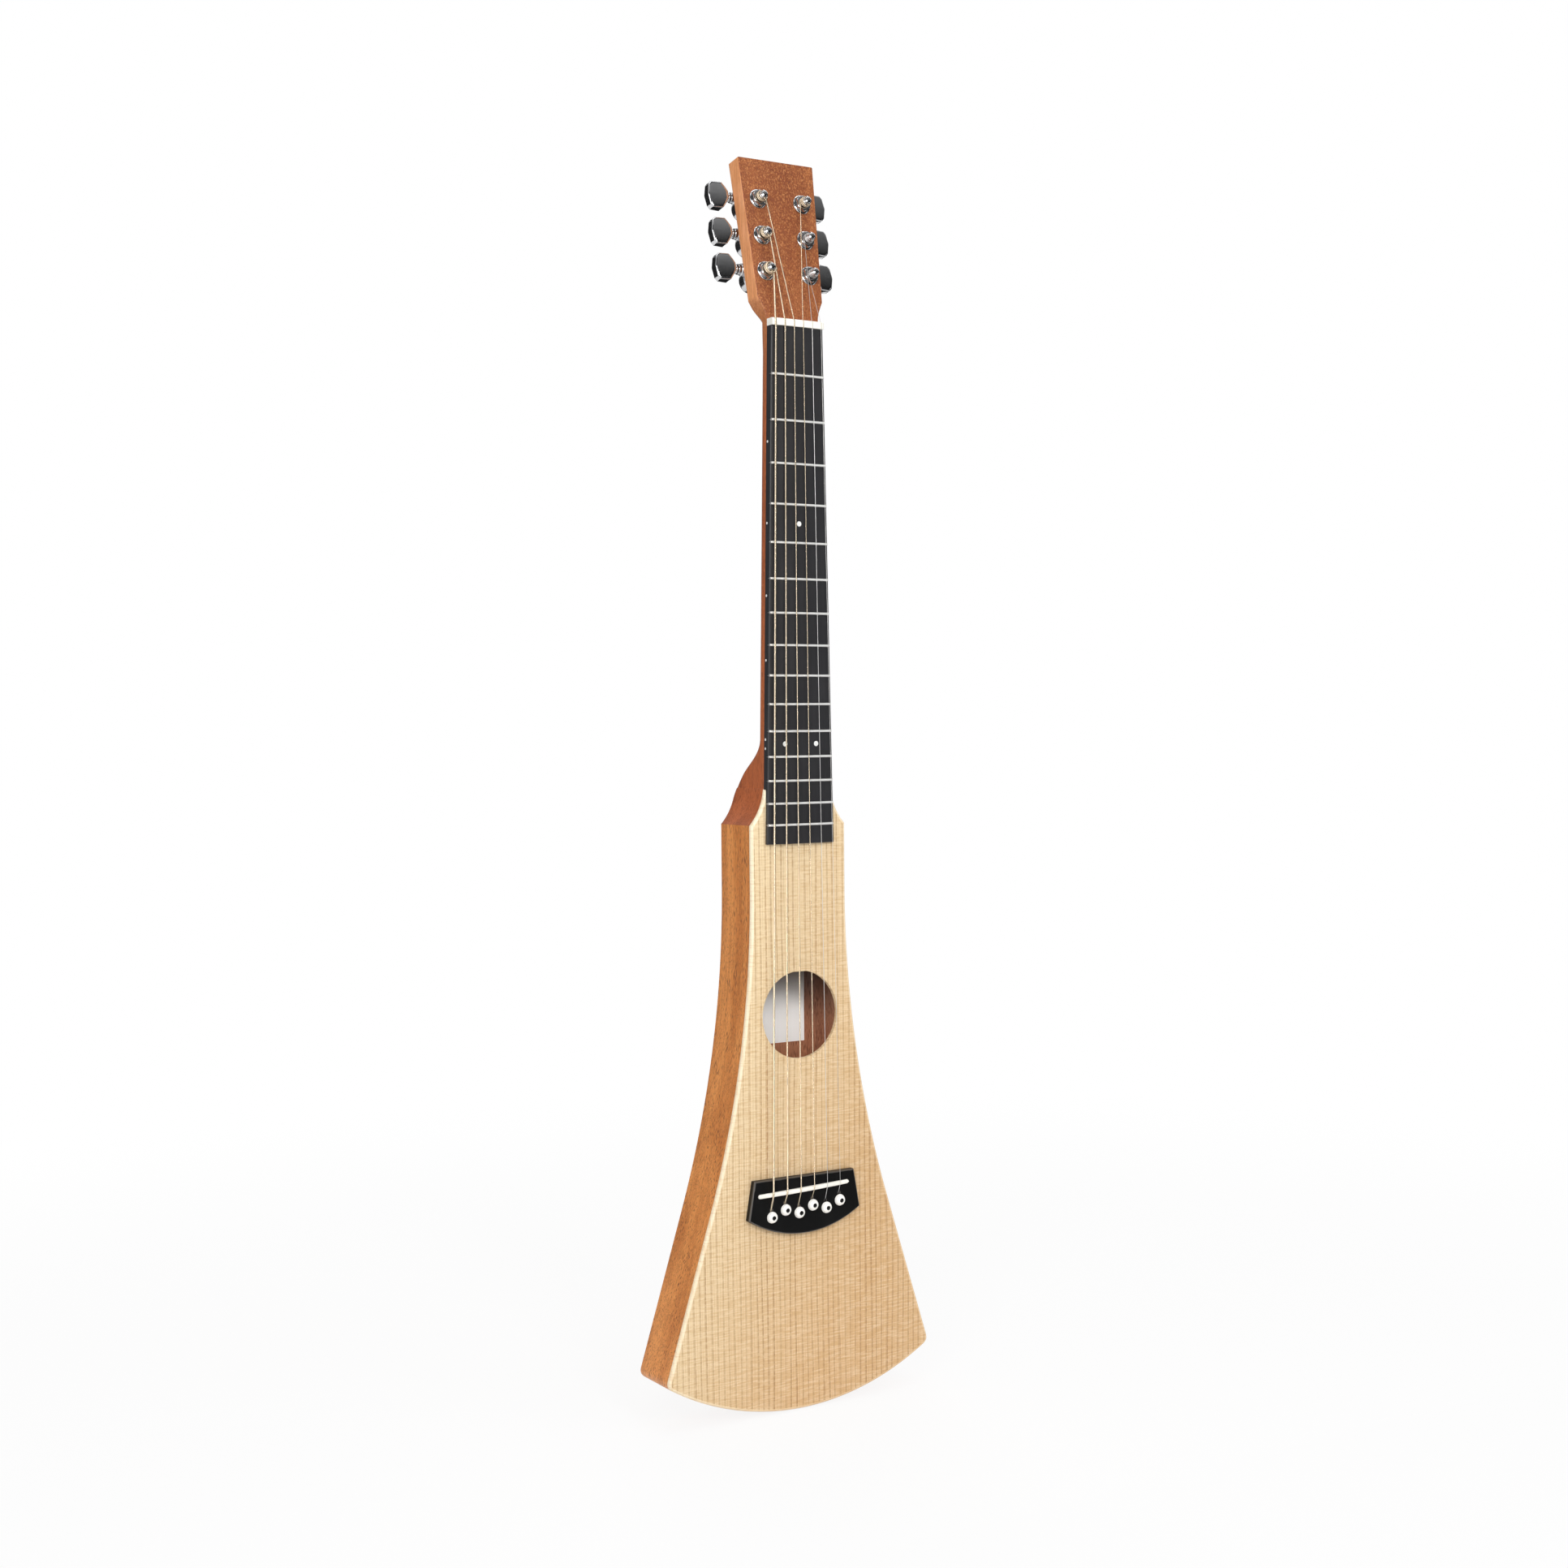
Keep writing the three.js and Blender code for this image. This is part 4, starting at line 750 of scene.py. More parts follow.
def body_block():
    """Rings from the front edge to the rounded back edge, a flat back, then the hollow inside."""
    levels = [(0.0, 0.0), (BODY_DEPTH / 2, 0.0)]
    levels += [(BODY_DEPTH - left, drawn) for left, drawn in quarter(EDGE_ROUND, 7)]
    outer = [both(placed(body_half(inset, -SHOULDER), y)) for y, inset in levels]
    floor_level = BODY_DEPTH - BACK
    hollow = [(0.0, WALL)]
    hollow += [(floor_level - left, WALL + drawn) for left, drawn in quarter(COVE, 12)]
    inner = [both(placed(body_half(inset, -CAVITY_START + WALL - inset), y)) for y, inset in hollow]
    back = across(placed(body_half(EDGE_ROUND, -SHOULDER), BODY_DEPTH))
    bottom = across(placed(body_half(WALL + COVE, -CAVITY_START - COVE), floor_level))
    grids = [np.stack(outer), back, ribbon(outer[0], inner[0]), np.stack(inner), bottom]
    return piece_from("body_block", grids, [BODY_WOOD, INNER_WOOD],
                      [True, False, True, True, False], [0, 0, 0, 1, 1])


body = place_piece(body_block(), "root", "mahogany_body", "body_shell")
print("body block:", len(body.data.polygons), "faces")

# %% [markdown]
# The soundboard is a 3 mm plate of spruce whose front edge is rounded over. Seen from the middle
# of its soundhole every point of its outline is in plain sight, so the plate is one ring of lines
# that run from the hole to the edge, over the edge, back along the underside and up the hole.

# %% Soundboard
def top_half(inset):
    """A wing's hollow arc joined to the body's half outline where both are drawn in."""
    centre, level = wing_arc()
    meets = level + math.sqrt((WING_RADIUS + inset) ** 2 - (centre - HALF_SHOULDER + inset) ** 2)
    drops = np.linspace(WING_TOP + inset, meets, 20)[:-1]
    wing = np.stack([wing_half(drops, inset), -drops], axis=1)
    return np.concatenate([wing, body_half(inset, -meets)])


def soundboard():
    """Underside, then quarter rounds of the outline, then the face with the hole's small lip."""
    def loop(inset, y):
        return both(placed(top_half(inset), y))

    def circle(radius, y):
        """The outline's points, drawn in along rays to a circle about the hole's middle."""
        ray = loop(0.0, 0.0) - (0.0, 0.0, -HOLE_DROP)
        ray /= np.linalg.norm(ray, axis=1)[:, None]
        return ray * radius + (0.0, y, -HOLE_DROP)

    edge = [loop(0.0, 0.0)]
    edge += [loop(left, -TOP_THICKNESS + drawn) for left, drawn in quarter(TOP_ROUND, 8)[::-1]]
    lip = [circle(HOLE_RADIUS + drawn, -TOP_THICKNESS + left)
           for left, drawn in quarter(HOLE_LIP, 4)[::-1]]
    face = [edge[-1] + (lip[0] - edge[-1]) * share for share in (0.25, 0.5, 0.75)]
    middle = [edge[-1], *face, *lip, circle(HOLE_RADIUS, 0.0)]
    under = ribbon(circle(HOLE_RADIUS, 0.0), edge[0])
    # The rounded edge takes the spruce's painted highlight.
    return piece_from("spruce_top_plate", [under, np.stack(edge), np.stack(middle)],
                      [SPRUCE, SPRUCE_PAINTED_HIGHLIGHT], [True] * 3, [0, 1, 0])


plate = place_piece(soundboard(), "root", "spruce_top", "soundboard")
print("soundboard:", len(plate.data.polygons), "faces")

# %% [markdown]
# The scale is the length of a string that sounds, from the nut to the saddle. Each fret leaves the
# same share of it as the fret before, so the twelfth lies at half. The neck grows wider on a
# straight taper, and its headstock leans back so that the strings press down on the nut.

# %% Measures of the neck
SCALE, NUT_WIDTH, TWELFTH_WIDTH = 609.6, 42.9, 53.8
HEAD_LENGTH, HEAD_TOP, HEAD_LOW, HEAD_CORNER, HEAD_THICK = 119.5, 31.5, 27.2, 16.6, 13.8
TILT = math.radians(10.5)
NUT_THICK, NECK_NUT, NECK_HEEL = 5.0, 16.0, 17.6
RISE_START, RISE_KNEE, RISE_END, BLEND = 292.0, 318.0, 336.0, 18.0
BOX_ROUND, SIDE_BAND, END_ROUND, FACE_LIP = 1.2, 3.0, 0.7, 0.08


def smooth(share):
    """3 t^2 - 2 t^3 for t kept between 0 and 1."""
    t = np.clip(share, 0.0, 1.0)
    return t * t * (3 - 2 * t)


def fret_drop(number):
    """Distance from the nut to a fret: the scale times 1 - 2^(-n/12)."""
    return SCALE * (1 - 2 ** (-np.asarray(number) / 12))


def board_half(drop):
    """Half the neck's width: a straight taper from the nut's width to the twelfth fret's."""
    return (NUT_WIDTH + (TWELFTH_WIDTH - NUT_WIDTH) * drop / fret_drop(12)) / 2


print("twelfth fret", round(float(fret_drop(12)), 1), "mm from the nut")

# %% [markdown]
# Neck, heel and headstock are carved from one length of mahogany. Every ring across it is a mix
# of a half ellipse, which the hand wants, and a box, which the heel and the headstock need. The
# rings follow the neck down to the shoulder, and up the headstock they lean back with its face.

# %% Neck, heel and headstock
def neck_rings(half, depth, square, lean, top, level, lip):
    """Rings of x, y, z: a mix of a D and a box, set at height level and depth top, leaning back by
    an angle. Place i runs from one edge at 0 over the back to the other edge at 18."""
    i = np.linspace(0.0, 18.0, 91)[None, :]
    half, depth, square, lean, top, level, lip = (
        np.asarray(v, float)[:, None] for v in (half, depth, square, lean, top, level, lip))
    near = np.minimum(i, 18 - i)
    sign = np.where(i <= 9, 1.0, -1.0)
    corner = np.clip(near - 2, 0.0, 1.0) * math.pi / 2
    boxed_x = sign * np.where(near <= 3, half - BOX_ROUND * (1 - np.cos(corner)),
                              (half - BOX_ROUND) * (1 - (near - 3) / 6))
    boxed_y = np.where(near <= 2, near / 2 * (depth - BOX_ROUND),
                       depth - BOX_ROUND * (1 - np.sin(corner)))
    turn = math.pi * np.clip(i - 1, 0.0, 16.0) / 16
    round_x = half * np.cos(turn)
    round_y = SIDE_BAND * np.minimum(near, 1.0) + (depth - SIDE_BAND) * np.sin(turn)
    x = round_x + (boxed_x - round_x) * square
    y = round_y + (boxed_y - round_y) * square
    arc = np.linspace(math.pi / 2, 0.0, 5)[None, :]
    lip_x = half - lip * (1 - np.cos(arc))
    lip_y = lip * (1 - np.sin(arc))
    y = np.maximum(y, lip)
    x = np.concatenate([lip_x, x, -lip_x[:, ::-1]], axis=1)
    y = np.concatenate([lip_y, y, lip_y[:, ::-1]], axis=1)
    return np.stack([x, top + y * np.cos(lean), level - y * np.sin(lean)], axis=-1)


def neck_piece():
    """Rings down the headstock, through the bend at the nut, down the neck and into the heel."""
    turns = np.linspace(math.pi / 2, 0, 5)
    rise = np.concatenate([HEAD_LENGTH - END_ROUND * (1 - np.sin(turns)),
                           np.linspace(HEAD_LENGTH - 1, HEAD_CORNER, 14)[1:],
                           np.linspace(HEAD_CORNER, 0.0, 30)[1:]])
    low = NUT_WIDTH / 2 + (HEAD_LOW - NUT_WIDTH / 2) * (np.clip(rise, 0, 99) / HEAD_CORNER) ** 1.6
    head = HEAD_LOW + (HEAD_TOP - HEAD_LOW) * (rise - HEAD_CORNER) / (HEAD_LENGTH - HEAD_CORNER)
    end = np.zeros(len(rise))
    end[:5] = END_ROUND * (1 - np.cos(turns))
    half = np.where(rise >= HEAD_CORNER, head, low)
    blend = NECK_NUT + (HEAD_THICK - NECK_NUT) * smooth(0.4 + rise / HEAD_CORNER)
    square = smooth(0.25 + rise / HEAD_CORNER)
    upper = neck_rings(half - end, blend - end, square, np.full(len(rise), TILT),
                       rise * math.sin(TILT), NUT_THICK + rise * math.cos(TILT),
                       FACE_LIP + 0.55 * smooth(rise / 6))
    share = np.linspace(0.0, 1.0, 14)[1:]
    start = NECK_NUT + (HEAD_THICK - NECK_NUT) * smooth(0.4)
    blended = neck_rings(board_half(share * BLEND), start + (NECK_NUT - start) * smooth(share),
                         smooth(0.25) * (1 - share), TILT * (1 - smooth(0.2 + 0.8 * share)),
                         0 * share, -share * BLEND, 0 * share + FACE_LIP)
    drop = np.concatenate([np.linspace(BLEND, RISE_START, 24)[1:],
                           np.linspace(RISE_START, WING_TOP, 40)[1:],
                           np.linspace(WING_TOP, SHOULDER, 34)[1:]])
    steep = smooth((drop - RISE_START) / (RISE_KNEE - RISE_START))
    rising = smooth((drop - RISE_START) / (RISE_END - RISE_START))
    deeper = 0.88 * steep + 0.12 * rising
    taper = NECK_NUT + (NECK_HEEL - NECK_NUT) * np.minimum(drop / RISE_START, 1)
    wide = np.where(drop < WING_TOP, board_half(drop), wing_half(np.maximum(drop, WING_TOP)))
    lower = neck_rings(wide, taper + (BODY_DEPTH - taper) * deeper, rising, 0 * drop, 0 * drop,
                       -drop, 0 * drop + FACE_LIP)
    return piece_from("neck_with_headstock", [capped(np.concatenate([upper, blended, lower]))],
                      [NECK_WOOD], [True], sharp=30)


neck = place_piece(neck_piece(), "root", "mahogany_neck", "neck")
print("neck:", len(neck.data.polygons), "faces")

# %% [markdown]
# The fretboard is a plank of black laminate whose face is a slice of a cylinder of 406 mm radius.
# Its section is carried down the taper as one loft, and past the neck's end its underside steps up
# to lie on the soundboard.

# %% Fretboard
BOARD_LENGTH, BOARD_THICK, CAMBER, EASE, FRETS = 367.0, 6.6, 406.0, 1.2, 15
END_RUN, END_FALL = 0.4, 0.35


def camber_drop(x):
    """How far a circle of the camber's radius falls at x: radius - sqrt(radius^2 - x^2)."""
    return CAMBER - np.sqrt(CAMBER ** 2 - np.asarray(x) ** 2)


def board_top(x):
    """Height of the board's face, forward of the neck: thickness less the circle's drop at x."""
    return -(BOARD_THICK - camber_drop(x))


def board_section(half, base, lift):
    """Side, eased corner and camber for a half width, as x and y, mirrored into a whole loop."""
    t = np.linspace(0.0, 1.0, 9)[:, None]
    flat = half - EASE
    below = np.array([half, board_top(half) - lift + EASE / 2])
    corner = np.array([half, board_top(half) - lift])
    above = np.array([flat, board_top(flat) - lift])
    eased = (1 - t) ** 2 * below + 2 * t * (1 - t) * corner + t ** 2 * above
    x = np.linspace(flat, 0.0, 17)[1:]
    crown = np.stack([x, board_top(x) - lift], axis=1)
    side = np.array([[half, base]])
    right = np.concatenate([side, eased, crown])
    return np.concatenate([right, (right * (-1, 1))[::-1][1:]])


def fretboard():
    """Sections down the taper, doubled where the base steps up, the last one eased down."""
    rows = []
    for drop in np.concatenate([np.linspace(0.0, WING_TOP, 30), [WING_TOP],
                                np.linspace(WING_TOP, BOARD_LENGTH - END_RUN, 8)[1:],
                                [BOARD_LENGTH]]):
        base = 0.0 if drop < WING_TOP or (drop == WING_TOP and len(rows) < 30) else -TOP_THICKNESS
        lift = -END_FALL if drop == BOARD_LENGTH else 0.0
        section = board_section(board_half(drop), base, lift)
        rows.append(np.insert(section, 2, -drop, axis=1))
    return piece_from("fretboard_plank", [capped(np.stack(rows))], [BLACK_BOARD], [True], sharp=38)


board = place_piece(fretboard(), "root", "black_laminate", "fretboard")
print("fretboard:", len(board.data.polygons), "faces")

# %% [markdown]
# A fret is a T of nickel silver: only its crown shows, a low rounded bead bent over the camber,
# with its ends filed off at a slant. The places follow one rule, so one function makes all fifteen.

# %% Frets
FRET_HALF, FRET_INSET, FRET_SLANT, TANG_HALF, TANG_DEEP = 1.1, 0.12, 0.95, 0.3, 2.0


def fret_wire(number):
    """The bead: a half ellipse carried along x over the camber, its ends drawn down and in."""
    drop = float(fret_drop(number))
    half = board_half(drop)
    turns = np.linspace(0.0, math.pi, 13)
    reach = half - FRET_INSET
    ends = reach - FRET_SLANT * (1 - np.linspace(1, 0, 7) ** 2)[:-1]
    x = np.concatenate([ends, np.linspace(reach - FRET_SLANT, -reach + FRET_SLANT, 25), -ends[::-1]])
    near = np.clip((reach - np.abs(x)) / FRET_SLANT, 0.0, 1.0)
    height = 0.08 + 0.92 * np.sin(near * math.pi / 2)
    seat = board_top(np.minimum(np.abs(x), half - EASE)) + 0.02
    section_z = FRET_HALF * np.cos(turns)[None, :] * (0.86 + 0.14 * near[:, None])
    section_y = seat[:, None] - np.sin(turns)[None, :] ** 0.8 * height[:, None]
    section_y[:, [0, -1]] += 0.25
    grid = np.stack([np.broadcast_to(x[:, None], section_z.shape), section_y, section_z - drop],
                    axis=-1)
    wide = half + 0.03
    corners = np.array([(-wide, TANG_HALF), (-wide, -TANG_HALF), (wide, -TANG_HALF),
                        (wide, TANG_HALF)])
    high = float(board_top(half)) + 0.05
    tang = np.stack([np.insert(corners, 1, y, axis=1) - (0, 0, drop)
                     for y in (high, high + TANG_DEEP)])
    wire = piece_from(f"fret_wire_{number}", [capped(grid), capped(tang)], [FRET_METAL], [True, True],
                      sharp=50)
    return place_piece(wire, "root", "fret_wire", f"fret_{number}")


for number in range(1, FRETS + 1):
    fret_wire(number)
print("last fret", round(float(fret_drop(FRETS)), 2), "mm from the nut")

# %% [markdown]
# The saddle is a thin bone-white blade that stands in a slanted slot, its top edge rounded and
# cambered like the board, so that each string leaves it at one sharp place. It is one profile
# carried along its slant, and its ends are rounded by making the blade thinner there.

# %% Saddle
SADDLE_DROP, SADDLE_SLOPE, SADDLE_TOP, SADDLE_HALF = 614.9, 0.0355, 11.0, 38.0
BRIDGE_TOP, SLOT_DEEP, BLADE_HALF, SADDLE_SHIFT = -8.0, 3.1, 1.5, 1.5


def saddle_line(x):
    """The z of the saddle's slanted line at x: drop from the nut plus slope times x."""
    return -SADDLE_DROP + SADDLE_SLOPE * np.asarray(x)


def saddle_blade():
    """Half a round of 1.5 mm on straight sides, at height 11 mm less the camber's drop."""
    x = np.sin(np.linspace(-1, 1, 61) * math.pi / 2) * SADDLE_HALF
    past = np.clip((np.abs(x) - SADDLE_HALF + BLADE_HALF) / BLADE_HALF, 0, 1)
    end = np.sqrt(np.clip(1 - past ** 2, 0.0, 1.0))
    turns = np.linspace(0.0, math.pi, 15)
    z = np.concatenate([[BLADE_HALF], BLADE_HALF * np.cos(turns), [-BLADE_HALF]])
    y = np.concatenate([[0.0], 1 - np.sin(turns), [0.0]])
    deep = np.zeros(len(z))
    deep[[0, -1]] = 1.0
    top = -(SADDLE_TOP - camber_drop(x))[:, None] + y[None, :]
    level = top * (1 - deep) + (BRIDGE_TOP + SLOT_DEEP) * deep
    x = x - SADDLE_SHIFT
    grid = np.stack([np.broadcast_to(x[:, None], level.shape), level,
                     saddle_line(x)[:, None] + z[None, :] * np.maximum(end, 0.12)[:, None]],
                    axis=-1)
    return piece_from("saddle_blade", [capped(grid)], [BONE_WHITE], [True], sharp=50)


saddle = place_piece(saddle_blade(), "root", "white_saddle", "saddle")
print("saddle:", len(saddle.data.polygons), "faces")

# %% [markdown]
# The bridge is a black plank with straight slanted sides, a shallow arch along its lower edge and
# a bevel all round. Its face is a fine height field: the bevel is a quarter round in the distance
# from the nearest edge, and behind the saddle a small ramp leads each string down to its pin.

# %% Bridge
BRIDGE_UP, BRIDGE_CORNER, BRIDGE_END, BRIDGE_HALF, BRIDGE_LOW = 605.3, 633.0, 647.0, 42.0, 46.9
BEVEL, GROOVE_HALF, GROOVE_DEEP = 1.4, 1.15, 1.5
PIN_SPREAD, PIN_ROWS, STRING_ENTRY = 57.2, (16.0, 12.35), 1.65
SHARES = np.arange(6) / 5 - 0.5
PIN_X = SHARES * PIN_SPREAD
PIN_Z = saddle_line(PIN_X) - np.array([PIN_ROWS[i % 2] for i in range(6)])


def bridge_plank():
    """Height 1 - sqrt(1 - (1 - t)^2) bevels below the top, where t bevels are left to the nearest
    edge, and a ramp of round section behind each string. Sloping faces get the bevel's painted
    reflection, a lighter copy of the laminate."""
    rows, columns = 97, 201
    rise = BRIDGE_END - BRIDGE_CORNER
    radius = (BRIDGE_LOW ** 2 + rise ** 2) / (2 * rise)
    centre = radius - BRIDGE_END
    u = np.sin(np.linspace(-1, 1, columns) * 1.25)[None, :] / math.sin(1.25)
    v = (np.sin(np.linspace(-1, 1, rows) * 1.25)[:, None] / math.sin(1.25) + 1) / 2
    low_x = BRIDGE_LOW * u
    low_z = centre - np.sqrt(radius ** 2 - low_x ** 2)
    x = BRIDGE_HALF * u * (1 - v) + low_x * v
    z = -BRIDGE_UP * (1 - v) + low_z * v
    lean = math.atan2(BRIDGE_LOW - BRIDGE_HALF, BRIDGE_CORNER - BRIDGE_UP)
    side = BRIDGE_HALF + (-BRIDGE_UP - z) * math.tan(lean)
    away = np.minimum(np.minimum(-BRIDGE_UP - z, (side - np.abs(x)) * math.cos(lean)),
                      radius - np.hypot(x, z - centre))
    t = np.clip(away / BEVEL, 0.0, 1.0)
    y = BRIDGE_TOP + BEVEL * (1 - np.sqrt(np.clip(1 - (1 - t) ** 2, 0.0, 1.0)))
    for pin_x, pin_z in zip(PIN_X, PIN_Z):
        run = np.clip((pin_z + 7.0 - z) / 5.0, 0.0, 1.0) * (z > pin_z - 1.0)
        groove = np.clip(1 - ((x - pin_x) / GROOVE_HALF) ** 2, 0.0, 1.0) ** 0.5
        y = y + GROOVE_DEEP * run * groove * smooth((z - pin_z + 1.0) / 0.8)
    top = np.stack([x, y, z], axis=-1)
    under = top.copy()
    under[..., 1] = -TOP_THICKNESS
    plank = piece_from("bridge_plank", [top, under, *rim(top, under)], [BLACK_BRIDGE, BEVEL_PAINTED_REFLECTION],
                       sharp=35)
    normals = np.empty(3 * len(plank.data.polygons))
    plank.data.polygons.foreach_get("normal", normals)
    # Sloping faces take the bevel's painted reflection.
    sloped = (normals[1::3] > -0.93) & (normals[1::3] < -0.15)
    plank.data.polygons.foreach_set("material_index", sloped.astype(np.int32))
    return plank


bridge = place_piece(bridge_plank(), "root", "black_bridge", "bridge")
print("bridge:", len(bridge.data.polygons), "faces")

# %% [markdown]
# Each bridge pin is turned: a collar, a fine dark groove, a dome with a round black dot set in its
# top, and a tapered shank in its hole. A lathe is a profile of radius and height swept round.

# %% Bridge pins
def lathe(profile, centre, out, side, up, steps=48):
    """Rings of points: centre + out * height + radius * (side cos t + up sin t)."""
    profile = np.asarray(profile, float)
    turn = np.linspace(0.0, 2 * math.pi, steps, endpoint=False)
    round_ = np.cos(turn)[:, None] * np.asarray(side) + np.sin(turn)[:, None] * np.asarray(up)
    return (np.asarray(centre) + profile[:, 1, None, None] * np.asarray(out)
            + profile[:, 0, None, None] * round_[None])


def curve(points, steps=5, most=9.0):
    """A line rounded off: each inner corner becomes a quadratic curve that reaches most mm back."""
    points = np.asarray(points, float)
    out = [points[0]]
    for before, corner, after in zip(points[:-2], points[1:-1], points[2:]):
        ease = min(np.linalg.norm(corner - before), np.linalg.norm(after - corner)) * 0.45
        ease = min(ease, most)
        a = corner + (before - corner) / max(np.linalg.norm(before - corner), 1e-9) * ease
        b = corner + (after - corner) / max(np.linalg.norm(after - corner), 1e-9) * ease
        t = np.linspace(0, 1, steps)[:, None]
        out.extend((1 - t) ** 2 * a + 2 * t * (1 - t) * corner + t ** 2 * b)
    return np.array(out + [points[-1]])


NAMES = ["low_e", "a", "d", "g", "b", "high_e"]
FRONT, RIGHT, UP = (0.0, -1.0, 0.0), (1.0, 0.0, 0.0), (0.0, 0.0, 1.0)


def bridge_pin(name, x, z):
    """Two lathes about the bridge's normal: shank, collar and dome, and the dot in its top."""
    turns = np.linspace(0.0, math.pi / 2, 14)
    dome = np.stack([3.85 * np.cos(turns), 1.75 + 2.35 * np.sin(turns)], axis=1)
    body = curve([(0.0, -17.0), (2.1, -17.0), (2.3, 0.3), (4.1, 0.3), (4.1, 1.5), (3.5, 1.52),
                  (3.5, 1.72), (3.85, 1.75)])
    rim = dome[dome[:, 0] > 1.5]
    seat = np.array([(1.62, rim[-1, 1] + 0.10), (1.58, rim[-1, 1] - 0.02)])
    shank = np.concatenate([body, rim[1:], seat])
    dot = np.array([(1.58, seat[-1, 1]), (1.45, seat[-1, 1] + 0.06), (0.5, seat[-1, 1] + 0.16),
                    (0.0, seat[-1, 1] + 0.18)])
    centre = (x, BRIDGE_TOP, z)
    grids = [lathe(part, centre, FRONT, RIGHT, UP) for part in (shank, dot)]
    pin = piece_from(f"bridge_pin_{name}", grids, [PIN_WHITE, DOT_BLACK], [True, True], [0, 1],
                     sharp=40)
    return place_piece(pin, "root", "pin_plastic", f"pin_{name}")


for name, x, z in zip(NAMES, PIN_X, PIN_Z):
    bridge_pin(name, x, z)
print("pins at", [round(float(x), 1) for x in PIN_X])

# %% [markdown]
# A string is one wire from its ball end under the bridge, up beside its pin, over the saddle and
# the nut, and two to four times round its post. Its path is a list of places rounded at each bend,
# with a helix in the headstock's own directions at its end.

# %% Paths of the strings
GAUGES = [1.35, 1.07, 0.81, 0.61, 0.41, 0.3]
NUT_SPREAD, SADDLE_SPREAD = 38.0, 56.7
POST_OFFSET, POST_RISES = 18.2, [35.6, 62.2, 89.3]
POST_RADIUS, POST_HEIGHT, SHAFT_DEPTH, GEAR_CENTRE = 2.9, 10.6, 19.0, 7.2
CLEAR, WASHER_HIGH, HEX_HIGH, WRAP_GAP, WRAP_SPACE, BALL_RADIUS = 0.3, 1.0, 2.6, 0.45, 3.4, 2.0
HOOK_OUT, EYE_DEEP, FRET_HIGH, NUT_LIFT, SADDLE_LIFT = 2.4, 2.5, 1.0, 0.45, 0.12
SIDES = [-1, -1, -1, 1, 1, 1]
RISES = [*POST_RISES, *POST_RISES[::-1]]
HEAD_UP = np.array([0.0, math.sin(TILT), math.cos(TILT)])
HEAD_OUT = np.array([0.0, -math.cos(TILT), math.sin(TILT)])
HEAD_START = np.array([0.0, 0.0, NUT_THICK])


def in_head(points):
    """From the headstock's own x, rise and height off its face to the guitar's x, y, z."""
    points = np.asarray(points, float)
    return (HEAD_START + points[..., :1] * (1.0, 0.0, 0.0) + points[..., 1:2] * HEAD_UP
            + points[..., 2:3] * HEAD_OUT)


def winding(i, nut_place):
    """A helix from where the wire meets a circle round the post, rising by gauge and gap a turn."""
    gauge, side, rise = GAUGES[i], SIDES[i], RISES[i]
    radius, pitch = POST_RADIUS + CLEAR + gauge / 2, gauge + WRAP_GAP
    turns = max(2, int(WRAP_SPACE / pitch))
    centre = np.array([side * POST_OFFSET, rise])
    away = nut_place[:2] - centre
    start = math.atan2(away[1], away[0]) - side * math.acos(radius / np.hypot(*away))
    share = np.linspace(0.0, 1.0, turns * 40 + 1)
    angle = start - side * 2 * math.pi * turns * share
    low = CLEAR + WASHER_HIGH + HEX_HIGH + CLEAR + gauge / 2
    return np.stack([centre[0] + radius * np.cos(angle), centre[1] + radius * np.sin(angle),
                     low + pitch * turns * share], axis=1)


def string_path(i):
    """Places along one string, rounded at each bend: ball end, pin, saddle, nut, and its post. It
    passes the nut at the frets' height plus NUT_LIFT, and lies SADDLE_LIFT above the saddle."""
    gauge = GAUGES[i]
    nut_x, saddle_x = SHARES[i] * NUT_SPREAD, SHARES[i] * SADDLE_SPREAD
    entry_z, hook_z = PIN_Z[i] + STRING_ENTRY, PIN_Z[i] + HOOK_OUT + CLEAR + BALL_RADIUS
    eye = EYE_DEEP + CLEAR + gauge
    nut_y = float(board_top(nut_x)) - FRET_HIGH - NUT_LIFT - gauge / 2
    saddle_y = -(SADDLE_TOP - float(camber_drop(saddle_x))) - SADDLE_LIFT - gauge / 2
    behind = NUT_THICK + CLEAR
    back = np.array([nut_x, nut_y + behind * math.tan(TILT) * 0.75, behind])
    local = np.array([back[0], (back - HEAD_START) @ HEAD_UP, (back - HEAD_START) @ HEAD_OUT])
    wraps = in_head(winding(i, local))
    places = [(PIN_X[i], eye, hook_z), (PIN_X[i], eye, entry_z),
              (PIN_X[i], BRIDGE_TOP + 2.0, entry_z),
              (saddle_x, saddle_y, float(saddle_line(saddle_x))), (nut_x, nut_y, 0.0), tuple(back)]
    rounded = curve([*places, wraps[0]], 7, 1.3)
    return np.concatenate([rounded[:-1], wraps])


STRING_PATHS = [string_path(i) for i in range(6)]
print("places on each path:", [len(path) for path in STRING_PATHS])

# %% [markdown]
# A circle carried along a path makes the wire. The length along it is kept in a UV map, so that the
# four wound strings can show their winding at its true pitch.

# %% Strings
def wire(path, radius, sides=14):
    """Rings square to the path, and each point's length along it in metres."""
    step = np.gradient(path, axis=0)
    along = step / np.linalg.norm(step, axis=1)[:, None]
    side = np.cross(along, (0.5, -0.8, 0.33))
    side /= np.linalg.norm(side, axis=1)[:, None]
    up = np.cross(along, side)
    turn = np.linspace(0.0, 2 * math.pi, sides, endpoint=False)[None, :, None]
    grid = path[:, None] + radius * (np.cos(turn) * side[:, None] + np.sin(turn) * up[:, None])
    length = np.concatenate([[0.0], np.cumsum(np.linalg.norm(np.diff(path, axis=0), axis=1))])
    return grid, length * MM


